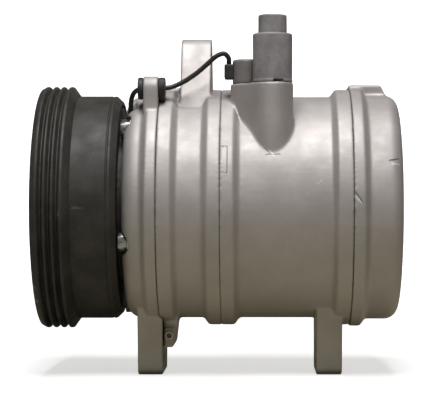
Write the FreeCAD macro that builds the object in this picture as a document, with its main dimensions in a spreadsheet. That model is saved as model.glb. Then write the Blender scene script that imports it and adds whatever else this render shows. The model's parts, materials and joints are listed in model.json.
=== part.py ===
import FreeCAD, Part
import math
import os
import Sketcher

# Belt-driven air-conditioning compressor with a swash plate and an electromagnetic clutch.
# Millimetres. The origin is on the shaft axis in the middle plane of the belt grooves,
# +X runs along the shaft from the pulley to the rear housing and +Z is up.

DIMENSIONS = {
    # pulley
    "pulley_radius": 56.0,
    "groove_pitch": 3.56,
    "groove_depth": 2.6,
    "groove_opening": 2.5,
    "groove_root": 0.6,
    "rim_front": 8.0,
    "rim_front_drop": 1.2,
    "back_land": 0.86,
    "back_slope": 3.1,
    "drum_drop": 4.4,
    "rim_lip": 1.4,
    "drum_wall": 4.2,
    "drum_rear": 29.1,
    "drum_chamfer": 2.8,
    "web_front": 2.0,
    "web_thickness": 6.0,
    "hub_wall": 3.7,
    "web_slot_radius": 39.5,
    "web_slot_width": 3.0,
    # pulley bearing
    "bearing_front": 6.0,
    "bearing_width": 18.0,
    "bearing_inner_radius": 17.5,
    "bearing_outer_radius": 27.5,
    "ring_wall": 3.1,
    "ball_radius": 4.0,
    "bearing_seal_thickness": 0.8,
    "snap_thickness": 1.5,
    "snap_depth": 1.0,
    "bearing_lip_height": 2.0,
    "rim_bevel": 0.5,
    # clutch
    "air_gap": 0.5,
    "armature_thickness": 4.5,
    "armature_inner_radius": 33.0,
    "armature_rim_gap": 4.2,
    "spring_thickness": 0.8,
    "spring_half_width": 4.6,
    "hub_plate_thickness": 2.5,
    "hub_plate_radius": 23.0,
    "hub_boss_radius": 13.0,
    "hub_rivet_circle": 27.5,
    "armature_rivet_circle": 41.0,
    "rivet_radius": 2.4,
    "coil_front": 10.5,
    "coil_gap": 1.0,
    "coil_shell_wall": 2.6,
    "coil_depth": 18.4,
    "coil_hub_gap": 2.2,
    "coil_plate_radius": 38.5,
    "coil_plate_thickness": 2.5,
    # shaft
    "shaft_radius": 8.0,
    "shaft_seat_radius": 6.5,
    "shaft_thread_radius": 4.0,
    "shaft_rear": 125.0,
    "nut_radius": 6.6,
    "nut_height": 3.9,
    "key_width": 3.0,
    # castings, front to rear
    "housing_face": 31.4,
    "front_housing_length": 15.5,
    "block_length": 28.1,
    "chamber_length": 30.8,
    "rear_housing_length": 22.1,
    "barrel_radius": 51.3,
    "rim_height": 3.3,
    "rim_slope": 2.4,
    "front_rim": 4.9,
    "front_block_rim": 6.2,
    "middle_rim_front": 6.0,
    "middle_rim_rear": 5.8,
    "rear_block_rim": 6.7,
    "rear_housing_rim": 4.8,
    "rear_housing_step": 0.6,
    "shoulder_radius": 6.6,
    "rear_corner_radius": 5.8,
    "end_wall": 5.0,
    "nose_radius": 17.5,
    "nose_root_radius": 20.0,
    "nose_front": 3.0,
    "nose_bore_radius": 12.5,
    "seal_front": 17.0,
    "seal_length": 8.0,
    # valve plates and gas chambers
    "valve_plate_thickness": 2.4,
    "reed_thickness": 0.3,
    "valve_plate_margin": 3.8,
    "divider_radius": 30.0,
    "divider_thickness": 2.0,
    "suction_port_radius": 3.0,
    "discharge_port_radius": 2.4,
    "passage_radius": 4.0,
    "crossover_radius": 2.8,
    # fasteners
    "bolt_radius": 2.5,
    "bolt_clearance": 0.3,
    "bolt_inset": 6.8,
    "bolt_head_radius": 4.6,
    "bolt_head_height": 4.0,
    "bolt_pocket_radius": 5.6,
    "bolt_pocket_floor": 35.0,
    "washer_thickness": 1.0,
    "bolt_tail": 12.0,
    "dowel_radius": 1.4,
    "dowel_length": 8.0,
    "seal_section": 1.2,
    # pistons and swash plate
    "bore_radius": 13.0,
    "bore_wall": 7.3,
    "piston_clearance": 0.15,
    "stroke": 15.0,
    "head_clearance": 0.6,
    "ring_width": 1.6,
    "ring_depth": 1.0,
    "swash_thickness": 7.0,
    "swash_rim_gap": 1.0,
    "swash_hub_radius": 14.0,
    "swash_journal_radius": 15.9,
    "collar_thickness": 2.4,
    "slot_half_width": 7.2,
    "shoe_sphere_radius": 9.5,
    "running_gap": 0.1,
    "thrust_bearing_thickness": 4.0,
    "thrust_bearing_radius": 17.0,
    "needle_radius": 0.95,
    "needle_shell": 0.9,
    "needle_bearing_length": 15.0,
    # feet, ear and bosses
    "foot_reach": 25.2,
    "foot_half_width": 18.5,
    "foot_root_half_width": 25.0,
    "foot_bolt_spread": 12.0,
    "foot_bolt_inset": 8.2,
    "foot_bolt_radius": 4.3,
    "foot_corner": 3.0,
    "front_foot_thickness": 11.4,
    "front_foot_overhang": 1.4,
    "casting_gap": 0.3,
    "rear_foot_thickness": 11.8,
    "rear_foot_offset": 3.9,
    "ear_front": 56.2,
    "ear_thickness": 14.0,
    "ear_rise": 17.9,
    "ear_radius": 9.0,
    "ear_root_half_width": 25.9,
    "ear_bolt_radius": 5.1,
    "rib_rise": 0.4,
    "rib_width": 16.0,
    "port_spacing": 36.0,
    "port_offset": 7.8,
    "port_boss_radius": 9.2,
    "port_rise": 4.3,
    "port_bore_radius": 6.3,
    "port_bore_depth": 10.0,
    "port_throat_radius": 4.1,
    "cap_radius": 8.95,
    "cap_height": 21.7,
    "cap_knob_radius": 6.45,
    "cap_knob_height": 8.4,
    "cap_stem_length": 8.0,
    "cap_edge_radius": 1.8,
    "switch_inset": 4.1,
    "switch_side": 25.0,
    "switch_radius": 6.1,
    "switch_height": 11.0,
    "switch_boss_radius": 7.0,
    "switch_edge": 1.2,
    "bridge_drop": 0.3,
    "tab_side": 27.0,
    "tab_rise": 5.33,
    "tab_radius": 5.5,
    "tab_thickness": 6.7,
    "grommet_hole_radius": 3.2,
    "grommet_flange_radius": 5.0,
    "grommet_front_length": 2.6,
    "grommet_rear_length": 3.1,
    "lead_radius": 1.1,
    "lead_exit_side": 20.6,
    "lead_exit_inset": 3.0,
    "pad_rise": 5.7,
    "pad_length": 14.6,
    "pad_slope": 3.8,
    "pad_near_side": -1.5,
    "pad_far_side": 24.0,
    "relief_valve_radius": 5.2,
    "relief_valve_length": 11.0,
    "plug_radius": 2.7,
    "plug_boss_reach": 12.7,
    "plug_boss_length": 7.4,
    "plug_boss_width": 14.0,
    "plug_boss_far_side": 4.0,
    "plug_boss_slope": 1.6,
    "plug_boss_chamfer": 2.6,
    "plug_pad_half_width": 2.3,
    "plug_pad_half_height": 3.4,
    "plug_pad_rise": 1.6,
    "plug_head": 1.0,
    "plug_stem": 7.0,
    # small clearances and margins
    "chamber_margin": 0.7,
    "passage_wall": 3.2,
    "crossover_inset": 5.0,
    "gas_chamber_step": 1.0,
    "hub_lip": 2.0,
    "needle_end_gap": 1.0,
    "needle_seat_gap": 0.05,
    "relief_valve_drop": 8.5,
    "relief_valve_stem": 6.0,
    "relief_valve_bore_step": 1.4,
    "plug_height": 5.6,
    "shaft_clearance": 1.2,
    "bearing_clearance": 0.6,
    "hub_boss_gap": 0.8,
    "key_height": 1.2,
    "key_depth": 2.0,
    "rivet_head_width": 1.4,
    "hub_rivet_head": 0.9,
    "armature_rivet_head": 1.3,
    "lobe_margin": 1.4,
    "hub_snap_reach": 2.2,
    "stem_gap": 0.15,
    "shaft_hole_gap": 1.5,
}

PISTONS = 5
GROOVES = 3
BALLS = 12
NEEDLES = 16
SPRINGS = 3
WEB_SLOTS = 6
WEB_BRIDGE = 12.0
FIRST_BOLT_ANGLE = 56.0
FIRST_BORE_ANGLE = 21.0
REST_PHASE = 93.0
PITCH = 360.0 / PISTONS
OVERSHOOT = 1.0
EAR_ROOT_SHARE = 0.82
PORT_SHARE = 0.46
RIB_ROOT_SHARE = 0.93
FOOT_ROOT_SHARE = 0.78
BOSS_ROOT_SHARE = 0.9
X_AXIS = FreeCAD.Vector(1, 0, 0)
ALONG_X = FreeCAD.Rotation(FreeCAD.Vector(0, 1, 0), 90)
ALONG_Y = FreeCAD.Rotation(FreeCAD.Vector(1, 0, 0), -90)


class Size:
    """A length or angle together with the spreadsheet formula that gives it."""

    def __init__(self, number, text):
        self.number = float(number)
        self.text = text

    def __float__(self):
        return self.number

    def __add__(self, other):
        other = as_size(other)
        return Size(self.number + other.number, f"({self.text} + {other.text})")

    def __sub__(self, other):
        other = as_size(other)
        return Size(self.number - other.number, f"({self.text} - {other.text})")

    def __mul__(self, other):
        other = as_size(other)
        return Size(self.number * other.number, f"({self.text} * {other.text})")

    def __truediv__(self, other):
        other = as_size(other)
        return Size(self.number / other.number, f"({self.text} / {other.text})")

    def __radd__(self, other):
        return as_size(other) + self

    def __rsub__(self, other):
        return as_size(other) - self

    def __rmul__(self, other):
        return as_size(other) * self

    def __neg__(self):
        return Size(-self.number, f"(0 - {self.text})")


def as_size(value):
    """A plain number as a Size."""
    if isinstance(value, Size):
        return value
    return Size(value, f"({float(value)!r})")


def root(value):
    return Size(math.sqrt(value.number), f"sqrt({value.text})")


def sine(degrees):
    degrees = as_size(degrees)
    return Size(math.sin(math.radians(degrees.number)), f"sin({degrees.text})")


def cosine(degrees):
    degrees = as_size(degrees)
    return Size(math.cos(math.radians(degrees.number)), f"cos({degrees.text})")


def tangent(degrees):
    degrees = as_size(degrees)
    return Size(math.tan(math.radians(degrees.number)), f"tan({degrees.text})")


def arc_tangent(value):
    return Size(math.degrees(math.atan(value.number)), f"(atan({value.text}) / 1 deg)")


def arc_cosine(value):
    return Size(math.degrees(math.acos(value.number)), f"(acos({value.text}) / 1 deg)")


def polar(radius, degrees):
    """The Y and Z of a point on a circle round the shaft, its angle measured from +Y towards +Z."""
    return radius * cosine(degrees), radius * sine(degrees)


# ---------------------------------------------------------------- the document and its sheet

doc = FreeCAD.newDocument("compressor")
sheet = doc.addObject("Spreadsheet::Sheet", "Sizes")


class Dimensions:
    """The driving dimensions, each one a cell of the sheet."""


dim = Dimensions()
for row, (name, number) in enumerate(DIMENSIONS.items(), start=1):
    sheet.set(f"A{row}", name)
    sheet.set(f"B{row}", str(number))
    sheet.setAlias(f"B{row}", name)
    setattr(dim, name, Size(number, f"Sizes.{name}"))
doc.recompute()

nodes = {}


# ---------------------------------------------------------------- building blocks

def bind(thing, name, value):
    """Tie one property of an object to the sheet."""
    thing.setExpression(name, as_size(value).text)


def put(thing, x, y, z, rotation=FreeCAD.Rotation()):
    """Place an object's own origin at a point that follows the sheet."""
    x, y, z = as_size(x), as_size(y), as_size(z)
    thing.Placement = FreeCAD.Placement(FreeCAD.Vector(float(x), float(y), float(z)), rotation)
    bind(thing, "Placement.Base.x", x)
    bind(thing, "Placement.Base.y", y)
    bind(thing, "Placement.Base.z", z)
    return thing


def cylinder(radius, length):
    thing = doc.addObject("Part::Cylinder", "cylinder")
    bind(thing, "Radius", radius)
    bind(thing, "Height", length)
    return thing


def rod(start, end, radius, y=0, z=0):
    """A round bar along X."""
    return put(cylinder(radius, end - start), start, y, z, ALONG_X)


def post(bottom, top, radius, x, y):
    """A round bar along Z."""
    return put(cylinder(radius, top - bottom), x, y, bottom)


def cross_rod(near, far, radius, x, z):
    """A round bar along Y."""
    return put(cylinder(radius, far - near), x, near, z, ALONG_Y)


def spoke(inner, outer, radius, x, degrees):
    """A round bar that points straight out from the shaft axis."""
    y, z = polar(inner, degrees)
    turn = FreeCAD.Rotation(X_AXIS, float(degrees) - 90)
    return put(cylinder(radius, outer - inner), x, y, z, turn)


def sector(start, end, radius, width, degrees, y=0, z=0):
    """A slice of a round bar along X, its middle at an angle and `width` degrees wide."""
    thing = cylinder(radius, end - start)
    thing.Angle = width
    return put(thing, start, y, z, FreeCAD.Rotation(X_AXIS, degrees - width / 2 + 90).multiply(ALONG_X))


def slab(x0, x1, y0, y1, z0, z1):
    thing = doc.addObject("Part::Box", "slab")
    bind(thing, "Length", x1 - x0)
    bind(thing, "Width", y1 - y0)
    bind(thing, "Height", z1 - z0)
    return put(thing, x0, y0, z0)


def ball(radius, x, y, z):
    thing = doc.addObject("Part::Sphere", "ball")
    bind(thing, "Radius", radius)
    return put(thing, x, y, z)


def torus(radius, section, x):
    thing = doc.addObject("Part::Torus", "torus")
    bind(thing, "Radius1", radius)
    bind(thing, "Radius2", section)
    return put(thing, x, 0, 0, ALONG_X)


def hexagon(start, end, radius, y=0, z=0):
    """A hexagonal bar along X."""
    thing = doc.addObject("Part::Prism", "hexagon")
    thing.Polygon = 6
    bind(thing, "Circumradius", radius)
    bind(thing, "Height", end - start)
    return put(thing, start, y, z, ALONG_X)


def join(*parts):
    thing = doc.addObject("Part::MultiFuse", "join")
    thing.Shapes = list(parts)
    thing.Refine = True
    return thing


def cut(base, *tools):
    thing = doc.addObject("Part::Cut", "cut")
    thing.Base = base
    thing.Tool = tools[0] if len(tools) == 1 else join(*tools)
    thing.Refine = True
    return thing


def group(*parts):
    """Separate solids kept in one node."""
    thing = doc.addObject("Part::Compound", "group")
    thing.Links = list(parts)
    return thing


def tube(start, end, outer, inner, y=0, z=0):
    return cut(rod(start, end, outer, y, z), rod(start - OVERSHOOT, end + OVERSHOOT, inner, y, z))


def soften(base, radius, chosen):
    """Round the edges for which `chosen` is true."""
    doc.recompute()
    picked = [i for i, edge in enumerate(base.Shape.Edges, start=1) if chosen(edge)]
    thing = doc.addObject("Part::Fillet", "rounding")
    thing.Base = base
    thing.Edges = [(i, float(radius), float(radius)) for i in picked]
    return thing


def outline_sketch(body, role, points):
    """A closed outline of straight lines, each corner tied to the sheet."""
    plane = [item for item in body.Origin.OriginFeatures if item.Role == role][0]
    sketch = body.newObject("Sketcher::SketchObject", "outline")
    sketch.AttachmentSupport = (plane, [""])
    sketch.MapMode = "FlatFace"
    corners = [(as_size(a), as_size(b)) for a, b in points]
    count = len(corners)
    for i in range(count):
        here = FreeCAD.Vector(float(corners[i][0]), float(corners[i][1]), 0)
        there = corners[(i + 1) % count]
        sketch.addGeometry(Part.LineSegment(here, FreeCAD.Vector(float(there[0]), float(there[1]), 0)), False)
    for i in range(count):
        sketch.addConstraint(Sketcher.Constraint("Coincident", i, 2, (i + 1) % count, 1))
    for i, (a, b) in enumerate(corners):
        for kind, size in (("DistanceX", a), ("DistanceY", b)):
            number = sketch.addConstraint(Sketcher.Constraint(kind, -1, 1, i, 1, float(size)))
            sketch.setExpression(f"Constraints[{number}]", size.text)
    return sketch


def turned(points):
    """A body turned round the X axis from an outline of (x, radius) corners."""
    body = doc.addObject("PartDesign::Body", "turned")
    sketch = outline_sketch(body, "XY_Plane", points)
    turning = body.newObject("PartDesign::Revolution", "turning")
    turning.Profile = sketch
    turning.ReferenceAxis = (sketch, ["H_Axis"])
    turning.Angle = 360
    return body


def pad(role, points, thickness, x=0, y=0):
    """An outline raised square to its plane: YZ_Plane rises to +X, XZ_Plane to -Y."""
    body = doc.addObject("PartDesign::Body", "pad")
    sketch = outline_sketch(body, role, points)
    raised = body.newObject("PartDesign::Pad", "raised")
    raised.Profile = sketch
    bind(raised, "Length", thickness)
    return put(body, x, y, 0)


def round_corner(body, x, radius, rounding):
    """Round the circular edge of a turned body that lies at one x and radius."""
    doc.recompute()
    found = []
    for i, edge in enumerate(body.Shape.Edges, start=1):
        curve = edge.Curve
        if not isinstance(curve, Part.Circle):
            continue
        if abs(curve.Center.x - float(x)) < 1e-4 and abs(curve.Radius - float(radius)) < 1e-4:
            found.append(f"Edge{i}")
    tip = body.Tip
    fillet = body.newObject("PartDesign::Fillet", "rounded_corner")
    fillet.Base = (tip, found)
    bind(fillet, "Radius", rounding)
    body.Tip = fillet
    return body


def node(name, thing):
    """Name a finished sub-part."""
    thing.Label = name
    nodes[name] = thing
    return thing


# ---------------------------------------------------------------- shared places

front_seam = dim.housing_face + dim.front_housing_length
middle_seam = front_seam + dim.block_length
chamber_rear = middle_seam + dim.chamber_length
rear_seam = chamber_rear + dim.block_length
rear_end = rear_seam + dim.rear_housing_length
swash_centre = middle_seam + dim.chamber_length / 2
rim_radius = dim.barrel_radius + dim.rim_height
bolt_circle = dim.barrel_radius - dim.bolt_inset
bore_circle = dim.barrel_radius - dim.bore_wall - dim.bore_radius
bolt_hole_radius = dim.bolt_radius + dim.bolt_clearance
chamber_radius = bolt_circle - bolt_hole_radius - dim.chamber_margin
swash_radius = chamber_radius - dim.swash_rim_gap
valve_plate_radius = dim.barrel_radius - dim.valve_plate_margin
plate_stack = dim.valve_plate_thickness + dim.reed_thickness * 2
front_plate_face = front_seam - plate_stack
rear_plate_face = rear_seam + plate_stack
suction_circle = bore_circle + dim.bore_radius * PORT_SHARE
discharge_circle = bore_circle - dim.bore_radius * PORT_SHARE
passage_circle = bolt_circle - bolt_hole_radius - dim.passage_radius - dim.passage_wall
gas_chamber_radius = chamber_radius - dim.gas_chamber_step
crossover_circle = dim.barrel_radius - dim.crossover_inset
crossover_angle = arc_cosine(dim.port_spacing / crossover_circle)
dowel_circle = dim.barrel_radius - dim.dowel_radius
ear_height = dim.barrel_radius + dim.ear_rise
port_height = dim.barrel_radius + dim.port_rise
pad_height = dim.barrel_radius + dim.pad_rise
foot_drop = dim.barrel_radius + dim.foot_reach
plug_boss_drop = dim.barrel_radius + dim.plug_boss_reach
tab_circle = rim_radius + dim.tab_rise
tab_height = root(tab_circle * tab_circle - dim.tab_side * dim.tab_side)
tilt = arc_tangent(dim.stroke / 2 / bore_circle)
bolt_angles = [FIRST_BOLT_ANGLE + PITCH * i for i in range(PISTONS)]
bore_angles = [FIRST_BORE_ANGLE + PITCH * i for i in range(PISTONS)]
dowel_angles = (93.0, 237.0)
port_x = swash_centre + dim.port_offset
bearing_rear = dim.bearing_front + dim.bearing_width
ball_circle = (dim.bearing_inner_radius + dim.bearing_outer_radius) / 2
coil_rear = dim.coil_front + dim.coil_depth
drum_radius = dim.pulley_radius - dim.drum_drop
rim_inside = drum_radius - dim.rim_lip
coil_radius = drum_radius - dim.drum_wall - dim.coil_gap
hub_outer_radius = dim.bearing_outer_radius + dim.hub_wall
hub_rear = bearing_rear + dim.snap_thickness + dim.hub_lip
armature_rear = dim.web_front - dim.air_gap
armature_front = armature_rear - dim.armature_thickness
spring_front = armature_front - dim.spring_thickness
hub_front = spring_front - dim.hub_plate_thickness
needle_circle = dim.shaft_radius + dim.needle_radius + dim.piston_clearance
needle_seat_radius = needle_circle + dim.needle_radius + dim.needle_shell + dim.needle_seat_gap
front_needle_start = middle_seam - dim.needle_bearing_length - dim.needle_end_gap
rear_needle_start = chamber_rear + dim.needle_end_gap


plug_x = front_seam + dim.plug_boss_length / 2 + dim.front_foot_overhang / 2
plug_z = dim.plug_height - plug_boss_drop
plug_face = -dim.plug_boss_far_side - dim.plug_boss_width - dim.plug_pad_rise
plug_stem_radius = dim.plug_radius * 0.66


def bolt_holes(start, end, radius):
    """One round hole at each through-bolt."""
    return [rod(start, end, radius, *polar(bolt_circle, angle)) for angle in bolt_angles]


def bores(start, end):
    return [rod(start, end, dim.bore_radius, *polar(bore_circle, angle)) for angle in bore_angles]


def passages(start, end):
    """Suction gas passages between the bores, and the crossover between the discharge chambers."""
    holes = [rod(start, end, dim.passage_radius, *polar(passage_circle, angle)) for angle in bolt_angles]
    return holes + [rod(start, end, dim.crossover_radius, *polar(crossover_circle, crossover_angle))]


def dowel_holes(seam):
    half = dim.dowel_length / 2
    places = [polar(dowel_circle, angle) for angle in dowel_angles]
    return [rod(seam - half, seam + half, dim.dowel_radius, y, z) for y, z in places]


def seal_ring(seam):
    """The square-section ring that sits in the face behind a seam."""
    outer = rim_radius - dim.seal_section
    return tube(seam, seam + dim.seal_section, outer, outer - dim.seal_section)


def seal_groove(seam):
    outer = rim_radius - dim.seal_section
    start = seam - OVERSHOOT
    end = seam + dim.seal_section
    return cut(rod(start, end, outer), rod(start - OVERSHOOT, end + OVERSHOOT, outer - dim.seal_section))


# ---------------------------------------------------------------- pulley and its bearing

def make_pulley():
    half_track = dim.groove_pitch * GROOVES / 2
    ring = [(-dim.rim_front, rim_inside), (-dim.rim_front, dim.pulley_radius - dim.rim_front_drop)]
    ring.append((-half_track - dim.rim_bevel, dim.pulley_radius))
    for i in range(GROOVES):
        middle = dim.groove_pitch * (i + 0.5) - half_track
        bottom = dim.pulley_radius - dim.groove_depth
        ring.append((middle - dim.groove_opening / 2, dim.pulley_radius))
        ring.append((middle - dim.groove_root / 2, bottom))
        ring.append((middle + dim.groove_root / 2, bottom))
        ring.append((middle + dim.groove_opening / 2, dim.pulley_radius))
    land = half_track + dim.back_land
    ring += [
        (land, dim.pulley_radius),
        (land + dim.back_slope, drum_radius),
        (dim.web_front, drum_radius),
        (dim.web_front, rim_inside),
    ]
    node("belt_ring", turned(ring))
    drum_inside = drum_radius - dim.drum_wall
    web_rear = dim.web_front + dim.web_thickness
    bearing_lip = dim.bearing_outer_radius - dim.bearing_lip_height
    rotor = turned([
        (dim.web_front, bearing_lip),
        (dim.web_front, drum_radius),
        (dim.drum_rear - dim.drum_chamfer, drum_radius),
        (dim.drum_rear, drum_radius - dim.drum_chamfer),
        (dim.drum_rear, drum_inside),
        (web_rear, drum_inside),
        (web_rear, hub_outer_radius),
        (hub_rear, hub_outer_radius),
        (hub_rear, dim.bearing_outer_radius),
        (bearing_rear + dim.snap_thickness, dim.bearing_outer_radius),
        (bearing_rear + dim.snap_thickness, dim.bearing_outer_radius + dim.snap_depth),
        (bearing_rear, dim.bearing_outer_radius + dim.snap_depth),
        (bearing_rear, dim.bearing_outer_radius),
        (dim.bearing_front, dim.bearing_outer_radius),
        (dim.bearing_front, bearing_lip),
    ])
    start = dim.web_front - OVERSHOOT
    end = web_rear + OVERSHOOT
    step = 360.0 / WEB_SLOTS
    slots = [sector(start, end, dim.web_slot_radius, step - WEB_BRIDGE, step * i) for i in range(WEB_SLOTS)]
    core = rod(start - OVERSHOOT, end + OVERSHOOT, dim.web_slot_radius - dim.web_slot_width)
    node("pulley", cut(rotor, cut(join(*slots), core)))


def make_bearing():
    middle = dim.bearing_front + dim.bearing_width / 2
    inner_edge = dim.bearing_inner_radius + dim.ring_wall
    outer_edge = dim.bearing_outer_radius - dim.ring_wall
    raceway = torus(ball_circle, dim.ball_radius + dim.running_gap, middle)
    inner = tube(dim.bearing_front, bearing_rear, inner_edge, dim.bearing_inner_radius)
    outer = tube(dim.bearing_front, bearing_rear, dim.bearing_outer_radius, outer_edge)
    node("bearing_inner_ring", cut(inner, raceway))
    node("bearing_outer_ring", cut(outer, raceway))
    places = [polar(ball_circle, 360.0 / BALLS * i) for i in range(BALLS)]
    node("bearing_balls", group(*[ball(dim.ball_radius, middle, y, z) for y, z in places]))
    pockets = [ball(dim.ball_radius + 0.2, middle, y, z) for y, z in places]
    strip = tube(middle - 5.6, middle + 5.6, ball_circle + 0.9, ball_circle - 0.9)
    node("bearing_cage", cut(strip, *pockets))
    shields = []
    for start in (dim.bearing_front + 0.4, bearing_rear - 0.4 - dim.bearing_seal_thickness):
        shields.append(tube(start, start + dim.bearing_seal_thickness, outer_edge, inner_edge + 0.15))
    node("bearing_seals", group(*shields))
    outer_snap = dim.bearing_outer_radius + dim.snap_depth
    inner_snap = dim.bearing_outer_radius - dim.hub_snap_reach
    snap = tube(bearing_rear, bearing_rear + dim.snap_thickness, outer_snap, inner_snap)
    opening = sector(bearing_rear - OVERSHOOT, hub_rear + OVERSHOOT, outer_snap + OVERSHOOT, 20, 90)
    node("bearing_snap_ring", cut(snap, opening))


# ---------------------------------------------------------------- clutch

def make_coil():
    back = coil_rear - dim.coil_shell_wall
    inside = hub_outer_radius + dim.coil_hub_gap
    bore = dim.nose_root_radius + 0.1
    node("coil_shell", turned([
        (dim.housing_face, bore),
        (dim.housing_face, dim.coil_plate_radius),
        (coil_rear, dim.coil_plate_radius),
        (coil_rear, coil_radius),
        (dim.coil_front, coil_radius),
        (dim.coil_front, coil_radius - dim.coil_shell_wall),
        (back, coil_radius - dim.coil_shell_wall),
        (back, inside + dim.coil_shell_wall),
        (dim.coil_front, inside + dim.coil_shell_wall),
        (dim.coil_front, inside),
        (coil_rear, inside),
        (coil_rear, bore),
    ]))
    outer = coil_radius - dim.coil_shell_wall - 0.1
    winding = tube(dim.coil_front + 1.5, back, outer, inside + dim.coil_shell_wall + 0.1)
    node("coil_winding", winding)
    outer_snap = dim.nose_root_radius + 2.6
    snap = tube(coil_rear - dim.snap_thickness, coil_rear, outer_snap, dim.nose_root_radius - dim.snap_depth)
    opening = sector(coil_rear - 3.0, coil_rear + 1.0, outer_snap + OVERSHOOT, 24, 270)
    node("coil_snap_ring", cut(snap, opening))


def spring_ends(i):
    """The hub end and the armature end of one leaf spring."""
    first = 360.0 / SPRINGS * i + 30.0
    return polar(dim.hub_rivet_circle, first), polar(dim.armature_rivet_circle, first + 48.0)


def strap(start, end, near, far, half_width):
    """A flat strap with round ends between two points."""
    dy = far[0] - near[0]
    dz = far[1] - near[1]
    length = root(dy * dy + dz * dz)
    bar = doc.addObject("Part::Box", "bar")
    bind(bar, "Length", end - start)
    bind(bar, "Width", length)
    bind(bar, "Height", half_width * 2)
    turn = FreeCAD.Rotation(X_AXIS, math.degrees(math.atan2(float(dz), float(dy))))
    put(bar, start, near[0] + half_width * dz / length, near[1] - half_width * dy / length, turn)
    return join(bar, rod(start, end, half_width, *near), rod(start, end, half_width, *far))


def make_clutch():
    armature_outer = rim_inside - dim.armature_rim_gap
    hub_rivets = []
    armature_rivets = []
    springs = []
    lobes = []
    hub_holes = []
    armature_holes = []
    head = dim.rivet_radius + dim.rivet_head_width
    for i in range(SPRINGS):
        inner, outer = spring_ends(i)
        blank = strap(spring_front, armature_front, inner, outer, dim.spring_half_width)
        holes = [rod(hub_front - 5, armature_rear + 5, dim.rivet_radius, *end) for end in (inner, outer)]
        springs.append(cut(blank, *holes))
        lobes.append(rod(hub_front, spring_front, dim.spring_half_width + dim.lobe_margin, *inner))
        hub_holes.append(holes[0])
        armature_holes.append(holes[1])
        hub_pin = rod(hub_front, armature_front, dim.rivet_radius, *inner)
        hub_rivets.append(join(
            hub_pin,
            rod(hub_front - dim.hub_rivet_head, hub_front, head, *inner),
            rod(armature_front, armature_front + 1.2, head, *inner),
        ))
        armature_rivets.append(join(
            rod(spring_front, armature_rear - 0.4, dim.rivet_radius, *outer),
            rod(spring_front - dim.armature_rivet_head, spring_front, head, *outer),
        ))
    node("leaf_springs", group(*springs))
    node("hub_rivets", group(*hub_rivets))
    node("armature_rivets", group(*armature_rivets))
    plate = tube(armature_front, armature_rear, armature_outer, dim.armature_inner_radius)
    node("armature_plate", cut(plate, *armature_holes))
    boss_rear = dim.nose_front - dim.hub_boss_gap
    hub = turned([
        (spring_front, dim.shaft_seat_radius),
        (spring_front, dim.nut_radius + 1.6),
        (hub_front, dim.nut_radius + 3.6),
        (hub_front, dim.hub_plate_radius),
        (spring_front, dim.hub_plate_radius),
        (spring_front, dim.hub_boss_radius),
        (boss_rear, dim.hub_boss_radius),
        (boss_rear, dim.shaft_seat_radius),
    ])
    key_top = dim.shaft_seat_radius + dim.key_height
    half_key = dim.key_width / 2
    keyway = slab(spring_front - OVERSHOOT, boss_rear + OVERSHOOT, -half_key, half_key, 0, key_top)
    node("clutch_hub", cut(join(hub, *lobes), keyway, *hub_holes))
    key_bottom = dim.shaft_seat_radius - dim.key_depth
    node("drive_key", slab(spring_front + 0.5, boss_rear, -half_key, half_key, key_bottom, key_top))
    thread = rod(spring_front - dim.nut_height - 1, spring_front + 1, dim.shaft_thread_radius)
    node("hub_nut", cut(hexagon(spring_front - dim.nut_height, spring_front, dim.nut_radius), thread))


# ---------------------------------------------------------------- shaft, seal and bearings

def make_shaft():
    boss_rear = dim.nose_front - dim.hub_boss_gap
    tip = spring_front - dim.nut_height + 0.2
    blank = turned([
        (tip, 0),
        (tip, dim.shaft_thread_radius),
        (spring_front, dim.shaft_thread_radius),
        (spring_front, dim.shaft_seat_radius),
        (boss_rear, dim.shaft_seat_radius),
        (boss_rear, dim.shaft_radius),
        (dim.shaft_rear, dim.shaft_radius),
        (dim.shaft_rear, 0),
    ])
    half_key = dim.key_width / 2
    key_bottom = dim.shaft_seat_radius - dim.key_depth
    slot = slab(spring_front + 0.5, boss_rear, -half_key, half_key, key_bottom, dim.shaft_radius)
    node("shaft", cut(blank, slot))
    seal_rear = dim.seal_front + dim.seal_length
    body = tube(dim.seal_front, seal_rear, dim.nose_bore_radius, dim.shaft_radius + dim.running_gap)
    inner = dim.shaft_radius + dim.running_gap
    wall = dim.nose_bore_radius - inner
    groove = tube(dim.seal_front + 3, seal_rear - 1.5, inner + wall * 0.68, inner + wall * 0.32)
    node("shaft_seal", cut(body, groove))
    snap_front = dim.seal_front - dim.snap_thickness
    snap_outer = dim.nose_bore_radius + dim.snap_depth
    snap = tube(snap_front, dim.seal_front, snap_outer, dim.nose_bore_radius - dim.hub_snap_reach)
    opening = sector(snap_front - 1, dim.seal_front + 1, dim.nose_bore_radius + 3, 30, 270)
    node("seal_snap_ring", cut(snap, opening))
    nose_snap_front = dim.bearing_front - dim.snap_thickness
    ring_outer = dim.nose_radius + dim.hub_snap_reach
    ring = tube(nose_snap_front, dim.bearing_front, ring_outer, dim.nose_radius - dim.snap_depth)
    gap = sector(nose_snap_front - 1, dim.bearing_front + 1, dim.nose_radius + 4, 22, 90)
    node("nose_snap_ring", cut(ring, gap))


def needle_bearing(start):
    end = start + dim.needle_bearing_length
    shell = tube(start, end, needle_seat_radius, needle_seat_radius - dim.needle_shell)
    rollers = []
    for i in range(NEEDLES):
        y, z = polar(needle_circle, 360.0 / NEEDLES * i)
        rollers.append(rod(start + 1, end - 1, dim.needle_radius, y, z))
    return [shell] + rollers


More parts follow.
